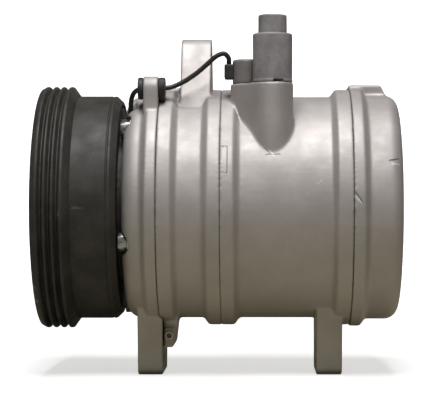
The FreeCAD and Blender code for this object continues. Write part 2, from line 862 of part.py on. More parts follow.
def make_bearings():
    node("needle_bearings", group(*needle_bearing(front_needle_start), *needle_bearing(rear_needle_start)))
    rings = []
    for start in (middle_seam, chamber_rear - dim.thrust_bearing_thickness + dim.running_gap):
        end = start + dim.thrust_bearing_thickness - dim.running_gap
        ring = tube(start, end, dim.thrust_bearing_radius, dim.shaft_radius + dim.shaft_hole_gap)
        middle = (start + end) / 2
        waist = tube(middle - 0.6, middle + 0.6, dim.thrust_bearing_radius + 1, dim.thrust_bearing_radius - 0.8)
        rings.append(cut(ring, waist))
    node("thrust_bearings", group(*rings))


# ---------------------------------------------------------------- swash plate, shoes and pistons

def tilted(body, x, y, z):
    """Tilt a body that was turned round X so that its axis is the swash plate's."""
    across = FreeCAD.Vector(0, -math.sin(math.radians(REST_PHASE)), math.cos(math.radians(REST_PHASE)))
    put(body, x, y, z, FreeCAD.Rotation(across, float(tilt)))
    bind(body, "Placement.Rotation.Angle", tilt)
    return body


def shoe(side):
    """A spherical cap whose flat faces the swash disc, turned round X; side is -1 or 1."""
    body = doc.addObject("PartDesign::Body", "shoe")
    sketch = body.newObject("Sketcher::SketchObject", "outline")
    plane = [item for item in body.Origin.OriginFeatures if item.Role == "XY_Plane"][0]
    sketch.AttachmentSupport = (plane, [""])
    sketch.MapMode = "FlatFace"
    flat = dim.swash_thickness / 2 + dim.running_gap
    radius = dim.shoe_sphere_radius
    edge = root(radius * radius - flat * flat)
    near = FreeCAD.Vector(side * float(flat), 0, 0)
    rim = FreeCAD.Vector(side * float(flat), float(edge), 0)
    tip = FreeCAD.Vector(side * float(radius), 0, 0)
    lean = math.atan2(float(edge), float(flat))
    first, last = (0, lean) if side > 0 else (math.pi - lean, math.pi)
    circle = Part.Circle(FreeCAD.Vector(0, 0, 0), FreeCAD.Vector(0, 0, 1), float(radius))
    sketch.addGeometry(Part.LineSegment(near, rim), False)
    sketch.addGeometry(Part.ArcOfCircle(circle, first, last), False)
    sketch.addGeometry(Part.LineSegment(tip, near), False)
    rim_end, tip_end = (2, 1) if side > 0 else (1, 2)
    sketch.addConstraint(Sketcher.Constraint("Coincident", 0, 2, 1, rim_end))
    sketch.addConstraint(Sketcher.Constraint("Coincident", 1, tip_end, 2, 1))
    sketch.addConstraint(Sketcher.Constraint("Coincident", 2, 2, 0, 1))
    sketch.addConstraint(Sketcher.Constraint("Coincident", 1, 3, -1, 1))
    sketch.addConstraint(Sketcher.Constraint("PointOnObject", 2, 1, -1))
    sketch.addConstraint(Sketcher.Constraint("PointOnObject", 2, 2, -1))
    sketch.addConstraint(Sketcher.Constraint("Vertical", 0))
    number = sketch.addConstraint(Sketcher.Constraint("Radius", 1, float(radius)))
    sketch.setExpression(f"Constraints[{number}]", radius.text)
    number = sketch.addConstraint(Sketcher.Constraint("DistanceX", -1, 1, 0, 1, side * float(flat)))
    sketch.setExpression(f"Constraints[{number}]", (flat * side).text)
    turning = body.newObject("PartDesign::Revolution", "turning")
    turning.Profile = sketch
    turning.ReferenceAxis = (sketch, ["H_Axis"])
    turning.Angle = 360
    return body


def make_swash():
    half = dim.swash_thickness / 2
    chamfer = 0.6
    disc = turned([
        (-half, dim.swash_journal_radius + dim.running_gap),
        (-half, swash_radius - chamfer),
        (chamfer - half, swash_radius),
        (half - chamfer, swash_radius),
        (half, swash_radius - chamfer),
        (half, dim.swash_journal_radius + dim.running_gap),
    ])
    node("swash_disc", tilted(disc, swash_centre, 0, 0))
    collar_front = -half - dim.collar_thickness
    collar_rear = -half - dim.running_gap
    collar_reach = bore_circle - dim.bore_radius - 2 * dim.running_gap
    collar_radius = (collar_reach + collar_front * sine(tilt)) / cosine(tilt)
    journal = tilted(turned([
        (collar_front, 0),
        (collar_front, collar_radius),
        (collar_rear, collar_radius),
        (collar_rear, dim.swash_journal_radius),
        (half + 0.5, dim.swash_journal_radius),
        (half + 0.5, 0),
    ]), swash_centre, 0, 0)
    start = middle_seam + dim.thrust_bearing_thickness
    end = chamber_rear - dim.thrust_bearing_thickness
    barrel = rod(start, end, dim.swash_hub_radius)
    shaft_hole = rod(start - OVERSHOOT, end + OVERSHOOT, dim.shaft_radius)
    node("swash_hub", cut(join(barrel, journal), shaft_hole))


def make_piston(number, angle):
    y, z = polar(bore_circle, angle)
    x = swash_centre - bore_circle * tangent(tilt) * cosine(angle - REST_PHASE)
    node(f"front_shoe_{number}", tilted(shoe(-1), x, y, z))
    node(f"rear_shoe_{number}", tilted(shoe(1), x, y, z))
    half = dim.chamber_length / 2 + dim.block_length - dim.stroke / 2 - dim.head_clearance
    radius = dim.bore_radius - dim.piston_clearance
    blank = rod(x - half, x + half, radius, y, z)
    slot = rod(x - dim.slot_half_width, x + dim.slot_half_width, swash_radius + 0.9)
    pocket = ball(dim.shoe_sphere_radius + dim.running_gap * 1.5, x, y, z)
    lands = []
    rings = []
    root_radius = radius - dim.ring_depth
    for start in (x - half + 2.5, x + half - 2.5 - dim.ring_width):
        end = start + dim.ring_width
        lands.append(tube(start, end, radius + OVERSHOOT, root_radius, y, z))
        rings.append(tube(start, end, radius + 0.04, root_radius, y, z))
    node(f"piston_{number}", group(cut(blank, slot, pocket, *lands), *rings))


# ---------------------------------------------------------------- valve plates and reeds

def plate_blank(start, end):
    holes = bolt_holes(start - OVERSHOOT, end + OVERSHOOT, bolt_hole_radius)
    holes += passages(start - OVERSHOOT, end + OVERSHOOT)
    holes.append(rod(start - OVERSHOOT, end + OVERSHOOT, dim.shaft_radius + dim.shaft_clearance))
    return rod(start, end, valve_plate_radius), holes


def ports(start, end, circle, radius):
    return [rod(start - OVERSHOOT, end + OVERSHOOT, radius, *polar(circle, angle)) for angle in bore_angles]


def flap_slots(start, end, circle, radius, open_towards):
    """The curved slot that frees one reed round each port."""
    slots = []
    for angle in bore_angles:
        y, z = polar(circle, angle)
        ring = sector(start - OVERSHOOT, end + OVERSHOOT, radius + 0.9, 290, angle + open_towards, y, z)
        slots.append(cut(ring, rod(start - 2, end + 2, radius, y, z)))
    return slots


def valve_set(seam, side):
    """Discharge reed, valve plate and suction reed of one end; side is the way out of the block."""
    reed = dim.reed_thickness
    edges = [seam]
    for thickness in (reed, dim.valve_plate_thickness, reed):
        edges.append(edges[-1] + thickness * side)
    spans = [tuple(sorted(pair, key=float)) for pair in zip(edges, edges[1:])]
    blank, holes = plate_blank(*spans[0])
    opened = ports(*spans[0], discharge_circle, dim.discharge_port_radius)
    flaps = flap_slots(*spans[0], suction_circle, dim.suction_port_radius + 1, 0)
    suction = cut(blank, *holes, *opened, *flaps)
    blank, holes = plate_blank(*spans[1])
    opened = ports(*spans[1], discharge_circle, dim.discharge_port_radius)
    opened += ports(*spans[1], suction_circle, dim.suction_port_radius)
    plate = cut(blank, *holes, *opened)
    blank, holes = plate_blank(*spans[2])
    opened = ports(*spans[2], suction_circle, dim.suction_port_radius)
    flaps = flap_slots(*spans[2], discharge_circle, dim.discharge_port_radius + 1, 180)
    discharge = cut(blank, *holes, *opened, *flaps)
    return suction, plate, discharge


def make_valves():
    front = valve_set(front_seam, -1)
    rear = valve_set(rear_seam, 1)
    for name, first, second in zip(("suction_reeds", "valve_plates", "discharge_reeds"), front, rear):
        node(name, group(first, second))


# ---------------------------------------------------------------- castings

def foot(x0, thickness):
    """A flat foot below the barrel with its two bolt holes."""
    top = -dim.barrel_radius * FOOT_ROOT_SHARE
    blank = pad("YZ_Plane", [
        (-dim.foot_root_half_width, top),
        (-dim.foot_half_width, -foot_drop),
        (dim.foot_half_width, -foot_drop),
        (dim.foot_root_half_width, top),
    ], thickness, x0)
    lowest = -float(foot_drop) + 0.1
    blank = soften(blank, dim.foot_corner, lambda edge: lies_along_x(edge) and edge.CenterOfMass.z < lowest)
    hole_z = dim.foot_bolt_inset - foot_drop
    holes = []
    for side in (-1, 1):
        hole_y = dim.foot_bolt_spread * side
        holes.append(rod(x0 - OVERSHOOT, x0 + thickness + OVERSHOOT, dim.foot_bolt_radius, hole_y, hole_z))
    return cut(blank, *holes)


def lies_along_x(edge):
    if not isinstance(edge.Curve, Part.Line):
        return False
    return abs(edge.Curve.Direction.x) > 0.999


def make_front_housing():
    outer = turned([
        (dim.nose_front, 0),
        (dim.nose_front, dim.nose_radius),
        (bearing_rear, dim.nose_radius),
        (bearing_rear, dim.nose_root_radius),
        (dim.housing_face, dim.nose_root_radius),
        (dim.housing_face, dim.barrel_radius),
        (front_seam - dim.front_rim - dim.rim_slope, dim.barrel_radius),
        (front_seam - dim.front_rim, rim_radius),
        (front_seam, rim_radius),
        (front_seam, 0),
    ])
    round_corner(outer, dim.housing_face, dim.barrel_radius, dim.shoulder_radius)
    tab_front = front_seam - dim.tab_thickness
    tab = join(
        slab(tab_front, front_seam, -dim.tab_side - dim.tab_radius, dim.tab_radius - dim.tab_side,
             dim.barrel_radius * 0.7, tab_height),
        rod(tab_front, front_seam, dim.tab_radius, -dim.tab_side, tab_height),
    )
    front_foot_rear = front_seam + dim.front_foot_overhang
    front_foot = foot(front_foot_rear - dim.front_foot_thickness, dim.front_foot_thickness)
    neighbour = rod(front_seam, front_foot_rear + OVERSHOOT, rim_radius + dim.casting_gap)
    chamber_front = dim.housing_face + dim.end_wall
    half_divider = dim.divider_thickness / 2
    nose_snap_front = dim.bearing_front - dim.snap_thickness
    seal_snap_front = dim.seal_front - dim.snap_thickness
    seal_rear = dim.seal_front + dim.seal_length
    voids = [
        rod(dim.nose_front - OVERSHOOT, seal_rear, dim.nose_bore_radius),
        rod(seal_rear - OVERSHOOT, front_seam + OVERSHOOT, dim.shaft_radius + dim.shaft_clearance),
        rod(seal_snap_front, dim.seal_front, dim.nose_bore_radius + dim.snap_depth),
        tube(nose_snap_front, dim.bearing_front, dim.nose_radius + OVERSHOOT, dim.nose_radius - dim.snap_depth),
        tube(coil_rear - dim.snap_thickness, coil_rear, dim.nose_root_radius + OVERSHOOT,
             dim.nose_root_radius - dim.snap_depth),
        rod(front_plate_face, front_seam + OVERSHOOT, valve_plate_radius),
        tube(chamber_front, front_seam, gas_chamber_radius, dim.divider_radius + half_divider),
        tube(chamber_front, front_seam, dim.divider_radius - half_divider, dim.nose_bore_radius + 3),
        rod(tab_front - OVERSHOOT, front_seam + OVERSHOOT, dim.grommet_hole_radius, -dim.tab_side, tab_height),
        rod(chamber_front + 3, front_seam, dim.crossover_radius, *polar(crossover_circle, crossover_angle)),
    ]
    holes = bolt_holes(dim.housing_face, front_seam + OVERSHOOT, bolt_hole_radius)
    holes += bolt_holes(dim.housing_face - OVERSHOOT, dim.bolt_pocket_floor, dim.bolt_pocket_radius)
    holes += dowel_holes(front_seam)
    holes.append(spoke(dim.divider_radius - 3, crossover_circle, dim.crossover_radius - 0.5,
                       chamber_front + 4, crossover_angle))
    holes.append(slab(dim.housing_face - OVERSHOOT, dim.bolt_pocket_floor + 1.6, -dim.switch_side,
                      9 - dim.switch_side, dim.barrel_radius * 0.7, dim.barrel_radius + 2))
    body = cut(join(outer, tab, cut(front_foot, neighbour)), *voids)
    node("front_housing", cut(body, *holes))


def make_front_cylinder():
    outer = turned([
        (front_seam, 0),
        (front_seam, rim_radius),
        (front_seam + dim.front_block_rim, rim_radius),
        (front_seam + dim.front_block_rim + dim.rim_slope, dim.barrel_radius),
        (middle_seam - dim.middle_rim_front - dim.rim_slope, dim.barrel_radius),
        (middle_seam - dim.middle_rim_front, rim_radius),
        (middle_seam, rim_radius),
        (middle_seam, 0),
    ])
    ear_rear = dim.ear_front + dim.ear_thickness
    ear_root = dim.barrel_radius * EAR_ROOT_SHARE
    lean = arc_tangent((dim.ear_root_half_width - dim.ear_radius) / (ear_height - ear_root))
    shoulder_y, shoulder_z = polar(dim.ear_radius, lean)
    ear = join(
        rod(dim.ear_front, ear_rear, dim.ear_radius, 0, ear_height),
        pad("YZ_Plane", [
            (-dim.ear_root_half_width, ear_root),
            (dim.ear_root_half_width, ear_root),
            (shoulder_y, ear_height + shoulder_z),
            (-shoulder_y, ear_height + shoulder_z),
        ], dim.ear_thickness, dim.ear_front),
    )
    rib_root = dim.barrel_radius * RIB_ROOT_SHARE
    rib = pad("XZ_Plane", [
        (front_seam + 2.0, rib_root),
        (front_seam + 2.0, rim_radius + dim.rib_rise),
        (dim.ear_front + OVERSHOOT, rim_radius + dim.rib_rise),
        (dim.ear_front + OVERSHOOT, rib_root),
    ], dim.rib_width, 0, dim.rib_width / 2)
    boss_front = front_seam + dim.front_foot_overhang + dim.casting_gap
    boss_rear = front_seam + dim.plug_boss_length
    boss_root = -dim.barrel_radius * BOSS_ROOT_SHARE
    plug_boss = pad("XZ_Plane", [
        (boss_front, boss_root),
        (boss_front, -plug_boss_drop),
        (boss_rear - dim.plug_boss_slope, -plug_boss_drop),
        (boss_rear, dim.plug_boss_chamfer - plug_boss_drop),
        (boss_rear + dim.plug_boss_slope, boss_root),
    ], dim.plug_boss_width, 0, -dim.plug_boss_far_side)
    plug_pad = pad("XZ_Plane", [
        (plug_x - dim.plug_pad_half_width, plug_z - dim.plug_pad_half_height),
        (plug_x + dim.plug_pad_half_width, plug_z - dim.plug_pad_half_height),
        (plug_x + dim.plug_pad_half_width, plug_z + dim.plug_pad_half_height),
        (plug_x - dim.plug_pad_half_width, plug_z + dim.plug_pad_half_height),
    ], dim.plug_boss_width + dim.plug_pad_rise, 0, -dim.plug_boss_far_side)
    start = front_seam - OVERSHOOT
    end = middle_seam + OVERSHOOT
    voids = bores(start, end) + passages(start, end) + bolt_holes(start, end, bolt_hole_radius)
    voids += dowel_holes(front_seam) + dowel_holes(middle_seam)
    voids += [
        seal_groove(front_seam),
        rod(start, end, dim.shaft_radius + dim.bearing_clearance),
        rod(front_needle_start, end, needle_seat_radius),
        rod(dim.ear_front - 2, ear_rear + 2, dim.ear_bolt_radius, 0, ear_height),
        plug_hole(),
    ]
    node("front_cylinder", cut(join(outer, ear, rib, plug_boss, plug_pad), *voids))


def plug_hole():
    bottom = plug_face + dim.plug_stem + OVERSHOOT
    return cross_rod(plug_face - OVERSHOOT, bottom, plug_stem_radius, plug_x, plug_z)


def boss_bridge(switch_x):
    """The wall that runs on from the suction boss round the switch boss."""
    dx = switch_x - port_x
    dy = dim.port_spacing - dim.switch_side
    reach = root(dx * dx + dy * dy)
    across_x = dy / reach
    across_y = -dx / reach
    corners = []
    for x, y, radius in (
        (port_x, -dim.port_spacing, dim.port_boss_radius),
        (switch_x, -dim.switch_side, -dim.switch_boss_radius),
    ):
        corners.append((x + across_x * radius, y + across_y * radius))
        corners.append((x - across_x * radius, y - across_y * radius))
    bottom = dim.barrel_radius * 0.5
    bridge = pad("XY_Plane", corners, port_height - dim.bridge_drop - bottom)
    return put(bridge, 0, 0, bottom)


def make_rear_cylinder():
    outer = turned([
        (middle_seam, 0),
        (middle_seam, rim_radius),
        (middle_seam + dim.middle_rim_rear, rim_radius),
        (middle_seam + dim.middle_rim_rear + dim.rim_slope, dim.barrel_radius),
        (rear_seam - dim.rear_block_rim - dim.rim_slope, dim.barrel_radius),
        (rear_seam - dim.rear_block_rim, rim_radius),
        (rear_seam, rim_radius),
        (rear_seam, 0),
    ])
    root_z = dim.barrel_radius * 0.4
    bosses = []
    for side in (-1, 1):
        bosses.append(post(root_z, port_height, dim.port_boss_radius, port_x, dim.port_spacing * side))
    switch_x = swash_centre - dim.switch_inset
    switch_root = dim.barrel_radius * 0.7
    bosses.append(post(switch_root, port_height, dim.switch_boss_radius, switch_x, -dim.switch_side))
    bosses.append(boss_bridge(switch_x))
    rear_foot_x = rear_seam - dim.rear_foot_offset - dim.rear_foot_thickness
    start = middle_seam - OVERSHOOT
    end = rear_seam + OVERSHOOT
    crossover_y, crossover_z = polar(crossover_circle, crossover_angle)
    throat_top = port_height - dim.port_bore_depth + OVERSHOOT
    voids = bores(start, end) + passages(chamber_rear - OVERSHOOT, end)
    voids += bolt_holes(start, end, bolt_hole_radius)
    voids += dowel_holes(middle_seam) + dowel_holes(rear_seam)
    voids += [
        seal_groove(middle_seam),
        rod(start, chamber_rear, chamber_radius),
        rod(start, chamber_rear + 2, dim.crossover_radius, crossover_y, crossover_z),
        rod(chamber_rear - OVERSHOOT, dim.shaft_rear + 2, dim.shaft_radius + dim.bearing_clearance),
        rod(chamber_rear - OVERSHOOT, rear_needle_start + dim.needle_bearing_length, needle_seat_radius),
        post(as_size(16.0), throat_top, dim.port_throat_radius, port_x, -dim.port_spacing),
        post(crossover_z, throat_top, dim.port_throat_radius, port_x, dim.port_spacing),
        post(port_height - 6, port_height + OVERSHOOT, dim.switch_radius - 2.1, switch_x, -dim.switch_side),
    ]
    for side in (-1, 1):
        voids.append(post(port_height - dim.port_bore_depth, port_height + OVERSHOOT,
                          dim.port_bore_radius, port_x, dim.port_spacing * side))
    node("rear_cylinder", cut(join(outer, foot(rear_foot_x, dim.rear_foot_thickness), *bosses), *voids))


def make_rear_housing():
    barrel = dim.barrel_radius + dim.rear_housing_step
    rim = rim_radius + dim.rear_housing_step
    outer = turned([
        (rear_seam, 0),
        (rear_seam, rim),
        (rear_seam + dim.rear_housing_rim, rim),
        (rear_seam + dim.rear_housing_rim + dim.rim_slope, barrel),
        (rear_end, barrel),
        (rear_end, 0),
    ])
    round_corner(outer, rear_end, barrel, dim.rear_corner_radius)
    low = dim.barrel_radius * 0.78
    raised = pad("XZ_Plane", [
        (rear_seam, low),
        (rear_seam, pad_height),
        (rear_seam + dim.pad_length, pad_height),
        (rear_seam + dim.pad_length + dim.pad_slope, pad_height - 7),
        (rear_seam + dim.pad_length + dim.pad_slope, low),
    ], dim.pad_far_side - dim.pad_near_side, 0, dim.pad_far_side)
    chamber_end = rear_end - dim.end_wall - 2
    half_divider = dim.divider_thickness / 2
    tail = rear_seam + dim.bolt_tail + OVERSHOOT
    valve_x = rear_seam + dim.pad_length / 2
    valve_z = pad_height - dim.relief_valve_drop
    valve_face = dim.pad_far_side
    valve_clear_radius = dim.relief_valve_radius + dim.bearing_clearance
    voids = [
        rod(rear_seam - OVERSHOOT, rear_plate_face, valve_plate_radius),
        tube(rear_seam, chamber_end, gas_chamber_radius, dim.divider_radius + half_divider),
        rod(rear_seam, chamber_end, dim.divider_radius - half_divider),
        rod(rear_seam, rear_seam + 10, dim.crossover_radius, *polar(crossover_circle, crossover_angle)),
        spoke(dim.divider_radius - 3, crossover_circle, dim.crossover_radius - 0.5, rear_plate_face + 4,
              crossover_angle),
        cross_rod(valve_face - dim.relief_valve_stem - OVERSHOOT, valve_face + OVERSHOOT,
                  dim.relief_valve_radius - dim.relief_valve_bore_step, valve_x, valve_z),
        cross_rod(valve_face, valve_face + dim.relief_valve_length, valve_clear_radius, valve_x, valve_z),
        seal_groove(rear_seam),
    ]
    voids += bolt_holes(rear_seam - OVERSHOOT, tail, dim.bolt_radius + 0.1)
    voids += dowel_holes(rear_seam)
    node("rear_housing", cut(join(outer, raised), *voids))


# ---------------------------------------------------------------- fasteners and seals

def make_fasteners():
    bolts = []
    washers = []
    washer_front = dim.bolt_pocket_floor - dim.washer_thickness
    head_front = washer_front - dim.bolt_head_height
    for angle in bolt_angles:
        y, z = polar(bolt_circle, angle)
        head = hexagon(head_front, washer_front, dim.bolt_head_radius, y, z)
        bolts.append(join(head, rod(washer_front, rear_seam + dim.bolt_tail, dim.bolt_radius, y, z)))
        washers.append(tube(washer_front, dim.bolt_pocket_floor, dim.bolt_head_radius + 0.3,
                            dim.bolt_radius + 0.05, y, z))
    node("through_bolts", group(*bolts))
    node("bolt_washers", group(*washers))
    pins = []
    for seam in (front_seam, middle_seam, rear_seam):
        pins += dowel_holes(seam)
    node("dowel_pins", group(*pins))
    node("body_seals", group(*[seal_ring(seam) for seam in (front_seam, middle_seam, rear_seam)]))


# ---------------------------------------------------------------- ports, switch, valve and plug

def make_caps():
    for name, side in (("suction_port_cap", -1), ("discharge_port_cap", 1)):
        y = dim.port_spacing * side
        skirt_top = port_height + dim.cap_height
        knob_top = skirt_top + dim.cap_knob_height
        solid = join(
            post(port_height, skirt_top, dim.cap_radius, port_x, y),
            post(skirt_top, knob_top, dim.cap_knob_radius, port_x, y),
            post(port_height - dim.cap_stem_length, port_height, dim.port_bore_radius - 0.15, port_x, y),
        )
        tops = (float(skirt_top), float(knob_top))
        node(name, soften(solid, dim.cap_edge_radius, lambda edge, tops=tops: is_top_rim(edge, tops)))


def is_top_rim(edge, heights):
    """True for the outer circle of a flat top at one of the given heights."""
    if not isinstance(edge.Curve, Part.Circle):
        return False
    outer = (float(dim.cap_radius), float(dim.cap_knob_radius))
    for height, radius in zip(heights, outer):
        if abs(edge.Curve.Center.z - height) < 1e-4 and abs(edge.Curve.Radius - radius) < 1e-4:
            return True
    return False


def is_circle_above(edge, height):
    return isinstance(edge.Curve, Part.Circle) and edge.Curve.Center.z > height


def make_switch():
    x = swash_centre - dim.switch_inset
    y = -dim.switch_side
    top = port_height + dim.switch_height
    solid = join(
        post(port_height, top, dim.switch_radius, x, y),
        post(port_height - 5, port_height, dim.switch_radius - 2.2, x, y),
    )
    height = float(top)
    solid = soften(solid, dim.switch_edge, lambda edge: is_circle_above(edge, height - 0.01))
    node("thermal_switch", solid)
    boot_middle = port_height + dim.switch_height / 2
    boot = slab(x - dim.switch_radius - 3.7, x - 1, y - 3.2, y + 3.2, boot_middle - 3.4, boot_middle + 3.4)
    clear = post(port_height, top + 5, dim.switch_radius, x, y)
    node("lead_boot", cut(boot, clear))


def make_relief_valve():
    x = rear_seam + dim.pad_length / 2
    z = pad_height - dim.relief_valve_drop
    face = dim.pad_far_side
    head = cross_rod(face, face + dim.relief_valve_length * 0.4, dim.relief_valve_radius, x, z)
    neck = cross_rod(face + dim.relief_valve_length * 0.4, face + dim.relief_valve_length,
                     dim.relief_valve_radius * 0.72, x, z)
    stem_radius = dim.relief_valve_radius - dim.relief_valve_bore_step - dim.running_gap
    stem = cross_rod(face - dim.relief_valve_stem, face, stem_radius, x, z)
    node("relief_valve", join(head, neck, stem))
    head = cross_rod(plug_face - dim.plug_head, plug_face, dim.plug_radius * 0.8, plug_x, plug_z)
    stem = cross_rod(plug_face, plug_face + dim.plug_stem, plug_stem_radius, plug_x, plug_z)
    socket_front = plug_face - dim.plug_head - OVERSHOOT
    socket = cross_rod(socket_front, plug_face + dim.plug_head, dim.plug_radius * 0.4, plug_x, plug_z)
    node("oil_plug", cut(join(head, stem), socket))


# ---------------------------------------------------------------- coil lead and grommet

# The lead's route in two legs, from the clutch coil to its grommet and on over the barrel to the
# switch. Each point is a share of its leg with an offset along X, Y and Z.
COIL_LEG = (
    (0.0, 0.0, 0.0, 0.0),
    (0.21, -0.1, 1.3, -3.0),
    (0.28, 0.0, 1.2, 1.1),
    (0.28, 0.1, -0.8, 6.1),
    (0.39, 0.1, -3.1, 8.4),
    (0.65, 0.0, -2.2, 5.6),
    (0.98, 0.1, -0.2, 0.2),
)
SWITCH_LEG = (
    (0.14, 0.2, 0.1, -0.6),
    (0.3, -0.1, 0.5, 1.0),
    (0.44, 0.2, 0.7, 4.0),
    (0.57, -0.2, 0.7, 7.2),
    (0.66, -0.1, 0.6, 9.9),
    (0.75, 0.0, 0.5, 10.6),
    (0.8, 0.2, 0.4, 8.0),
    (0.8, 0.1, 0.4, 4.9),
)
ARC_SHARE = 0.45


def rounded_path(points):
    """Straight runs joined by tangent arcs, each arc as large as its two runs allow."""
    edges = []
    radii = []
    start = points[0]
    for before, corner, after in zip(points, points[1:], points[2:]):
        coming = (corner - before).normalize()
        going = (after - corner).normalize()
        half_turn = coming.getAngle(going) / 2
        reach = ARC_SHARE * min((corner - before).Length, (after - corner).Length)
        radii.append(reach / math.tan(half_turn))
        first = corner - coming * reach
        last = corner + going * reach
        bisector = (going - coming).normalize()
        centre = corner + bisector * (radii[-1] / math.cos(half_turn))
        middle = centre - bisector * radii[-1]
        edges.append(Part.LineSegment(start, first).toShape())
        edges.append(Part.Arc(first, middle, last).toShape())
        start = last
    edges.append(Part.LineSegment(start, points[-1]).toShape())
    return Part.Wire(edges), radii


def lead_route():
    """The lead's points, which follow the coil, the grommet and the switch."""
    exit_circle = coil_radius - dim.lead_exit_inset
    exit_z = root(exit_circle * exit_circle - dim.lead_exit_side * dim.lead_exit_side)
    coil_end = (coil_rear, -dim.lead_exit_side, exit_z)
    grommet = (front_seam, -dim.tab_side, tab_height)
    switch = (swash_centre - dim.switch_inset, -dim.switch_side, port_height + dim.switch_height / 2)
    points = []
    for start, end, leg in ((coil_end, grommet, COIL_LEG), (grommet, switch, SWITCH_LEG)):
        first = FreeCAD.Vector(*[float(value) for value in start])
        last = FreeCAD.Vector(*[float(value) for value in end])
        for share, *offset in leg:
            points.append(first + (last - first) * share + FreeCAD.Vector(*offset))
    return points


def make_lead():
    route = lead_route()
    path, radii = rounded_path(route)
    radius = float(dim.lead_radius)
    start = route[0]
    heading = route[1] - start
    section = Part.Wire(Part.Circle(start, heading, radius).toShape())
    tube_shape = path.makePipeShell([section], True, False)
    expected = math.pi * radius ** 2 * path.Length
    print("lead length", round(path.Length, 2), "volume share", round(tube_shape.Volume / expected, 4))
    print("lead radii", [round(value, 1) for value in radii])
    lead = doc.addObject("Part::Feature", "lead")
    lead.Shape = tube_shape
    lead.Placement = FreeCAD.Placement()
    node("coil_lead", lead)
    y = -dim.tab_side
    z = tab_height
    tab_front = front_seam - dim.tab_thickness
    solid = join(
        rod(tab_front - dim.grommet_front_length, tab_front, dim.grommet_flange_radius, y, z),
        rod(tab_front, front_seam, dim.grommet_hole_radius, y, z),
        rod(front_seam, front_seam + dim.grommet_rear_length, dim.grommet_flange_radius, y, z),
    )
    node("lead_grommet", cut(solid, lead))


# ---------------------------------------------------------------- build, check and write

def failed_objects():
    return [item.Name for item in doc.Objects if {"Invalid", "Error"} & set(item.State)]


def main():
    make_pulley()
    make_bearing()
    make_coil()
    make_clutch()
    make_shaft()
    make_bearings()
    make_swash()
    for number, angle in enumerate(bore_angles, start=1):
        make_piston(number, angle)
    make_valves()
    make_front_housing()
    make_front_cylinder()
    make_rear_cylinder()
    make_rear_housing()
    make_fasteners()
    make_caps()
    make_switch()
    make_relief_valve()
    make_lead()
    doc.recompute()
    failed = failed_objects()
    if failed:
        raise RuntimeError(f"these objects failed: {failed}")
    for name, thing in nodes.items():
        if thing.Shape.isNull() or not thing.Shape.isValid() or not thing.Shape.Solids:
            raise RuntimeError(f"{name} has no valid solid")
    os.makedirs("parts", exist_ok=True)
    for name, thing in nodes.items():
        thing.Shape.exportStep(f"parts/{name}.step")
    print(len(nodes), "nodes written")


main()
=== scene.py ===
"""Looks of a belt-driven air-conditioning compressor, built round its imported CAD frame. Metres."""
import json
import math

import bmesh
import bpy
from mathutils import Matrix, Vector


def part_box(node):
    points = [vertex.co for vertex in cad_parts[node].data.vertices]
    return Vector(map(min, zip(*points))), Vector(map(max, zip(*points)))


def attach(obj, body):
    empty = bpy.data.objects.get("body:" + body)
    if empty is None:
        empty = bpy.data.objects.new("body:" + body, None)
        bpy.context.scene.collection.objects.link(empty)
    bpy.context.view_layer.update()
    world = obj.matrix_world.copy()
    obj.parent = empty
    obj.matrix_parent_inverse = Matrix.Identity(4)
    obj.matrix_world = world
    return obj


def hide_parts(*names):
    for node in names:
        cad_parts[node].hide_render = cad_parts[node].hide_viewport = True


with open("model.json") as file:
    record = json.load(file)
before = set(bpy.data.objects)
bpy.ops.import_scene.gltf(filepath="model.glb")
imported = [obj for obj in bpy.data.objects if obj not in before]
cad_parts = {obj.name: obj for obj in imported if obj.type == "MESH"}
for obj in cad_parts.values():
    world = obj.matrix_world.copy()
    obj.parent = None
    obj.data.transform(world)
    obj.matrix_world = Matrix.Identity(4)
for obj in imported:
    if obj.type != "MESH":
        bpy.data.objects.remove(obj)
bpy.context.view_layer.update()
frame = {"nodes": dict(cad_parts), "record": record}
MM = 0.001
nodes = frame["nodes"]
mounts = {m["name"]: m for m in frame["record"]["mounts"]}


# ---------------------------------------------------------------- places read from the frame

def low(node):
    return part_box(node)[0]


def high(node):
    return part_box(node)[1]


PULLEY_RADIUS = high("belt_ring").z
PULLEY_FRONT = low("belt_ring").x
PULLEY_REAR = high("pulley").x
FRONT_SEAM = high("front_housing").x
MIDDLE_SEAM = low("rear_cylinder").x
REAR_SEAM = low("rear_housing").x
REAR_END = high("rear_housing").x
FLOOR_Z = low("front_housing").z


# ---------------------------------------------------------------- node helpers

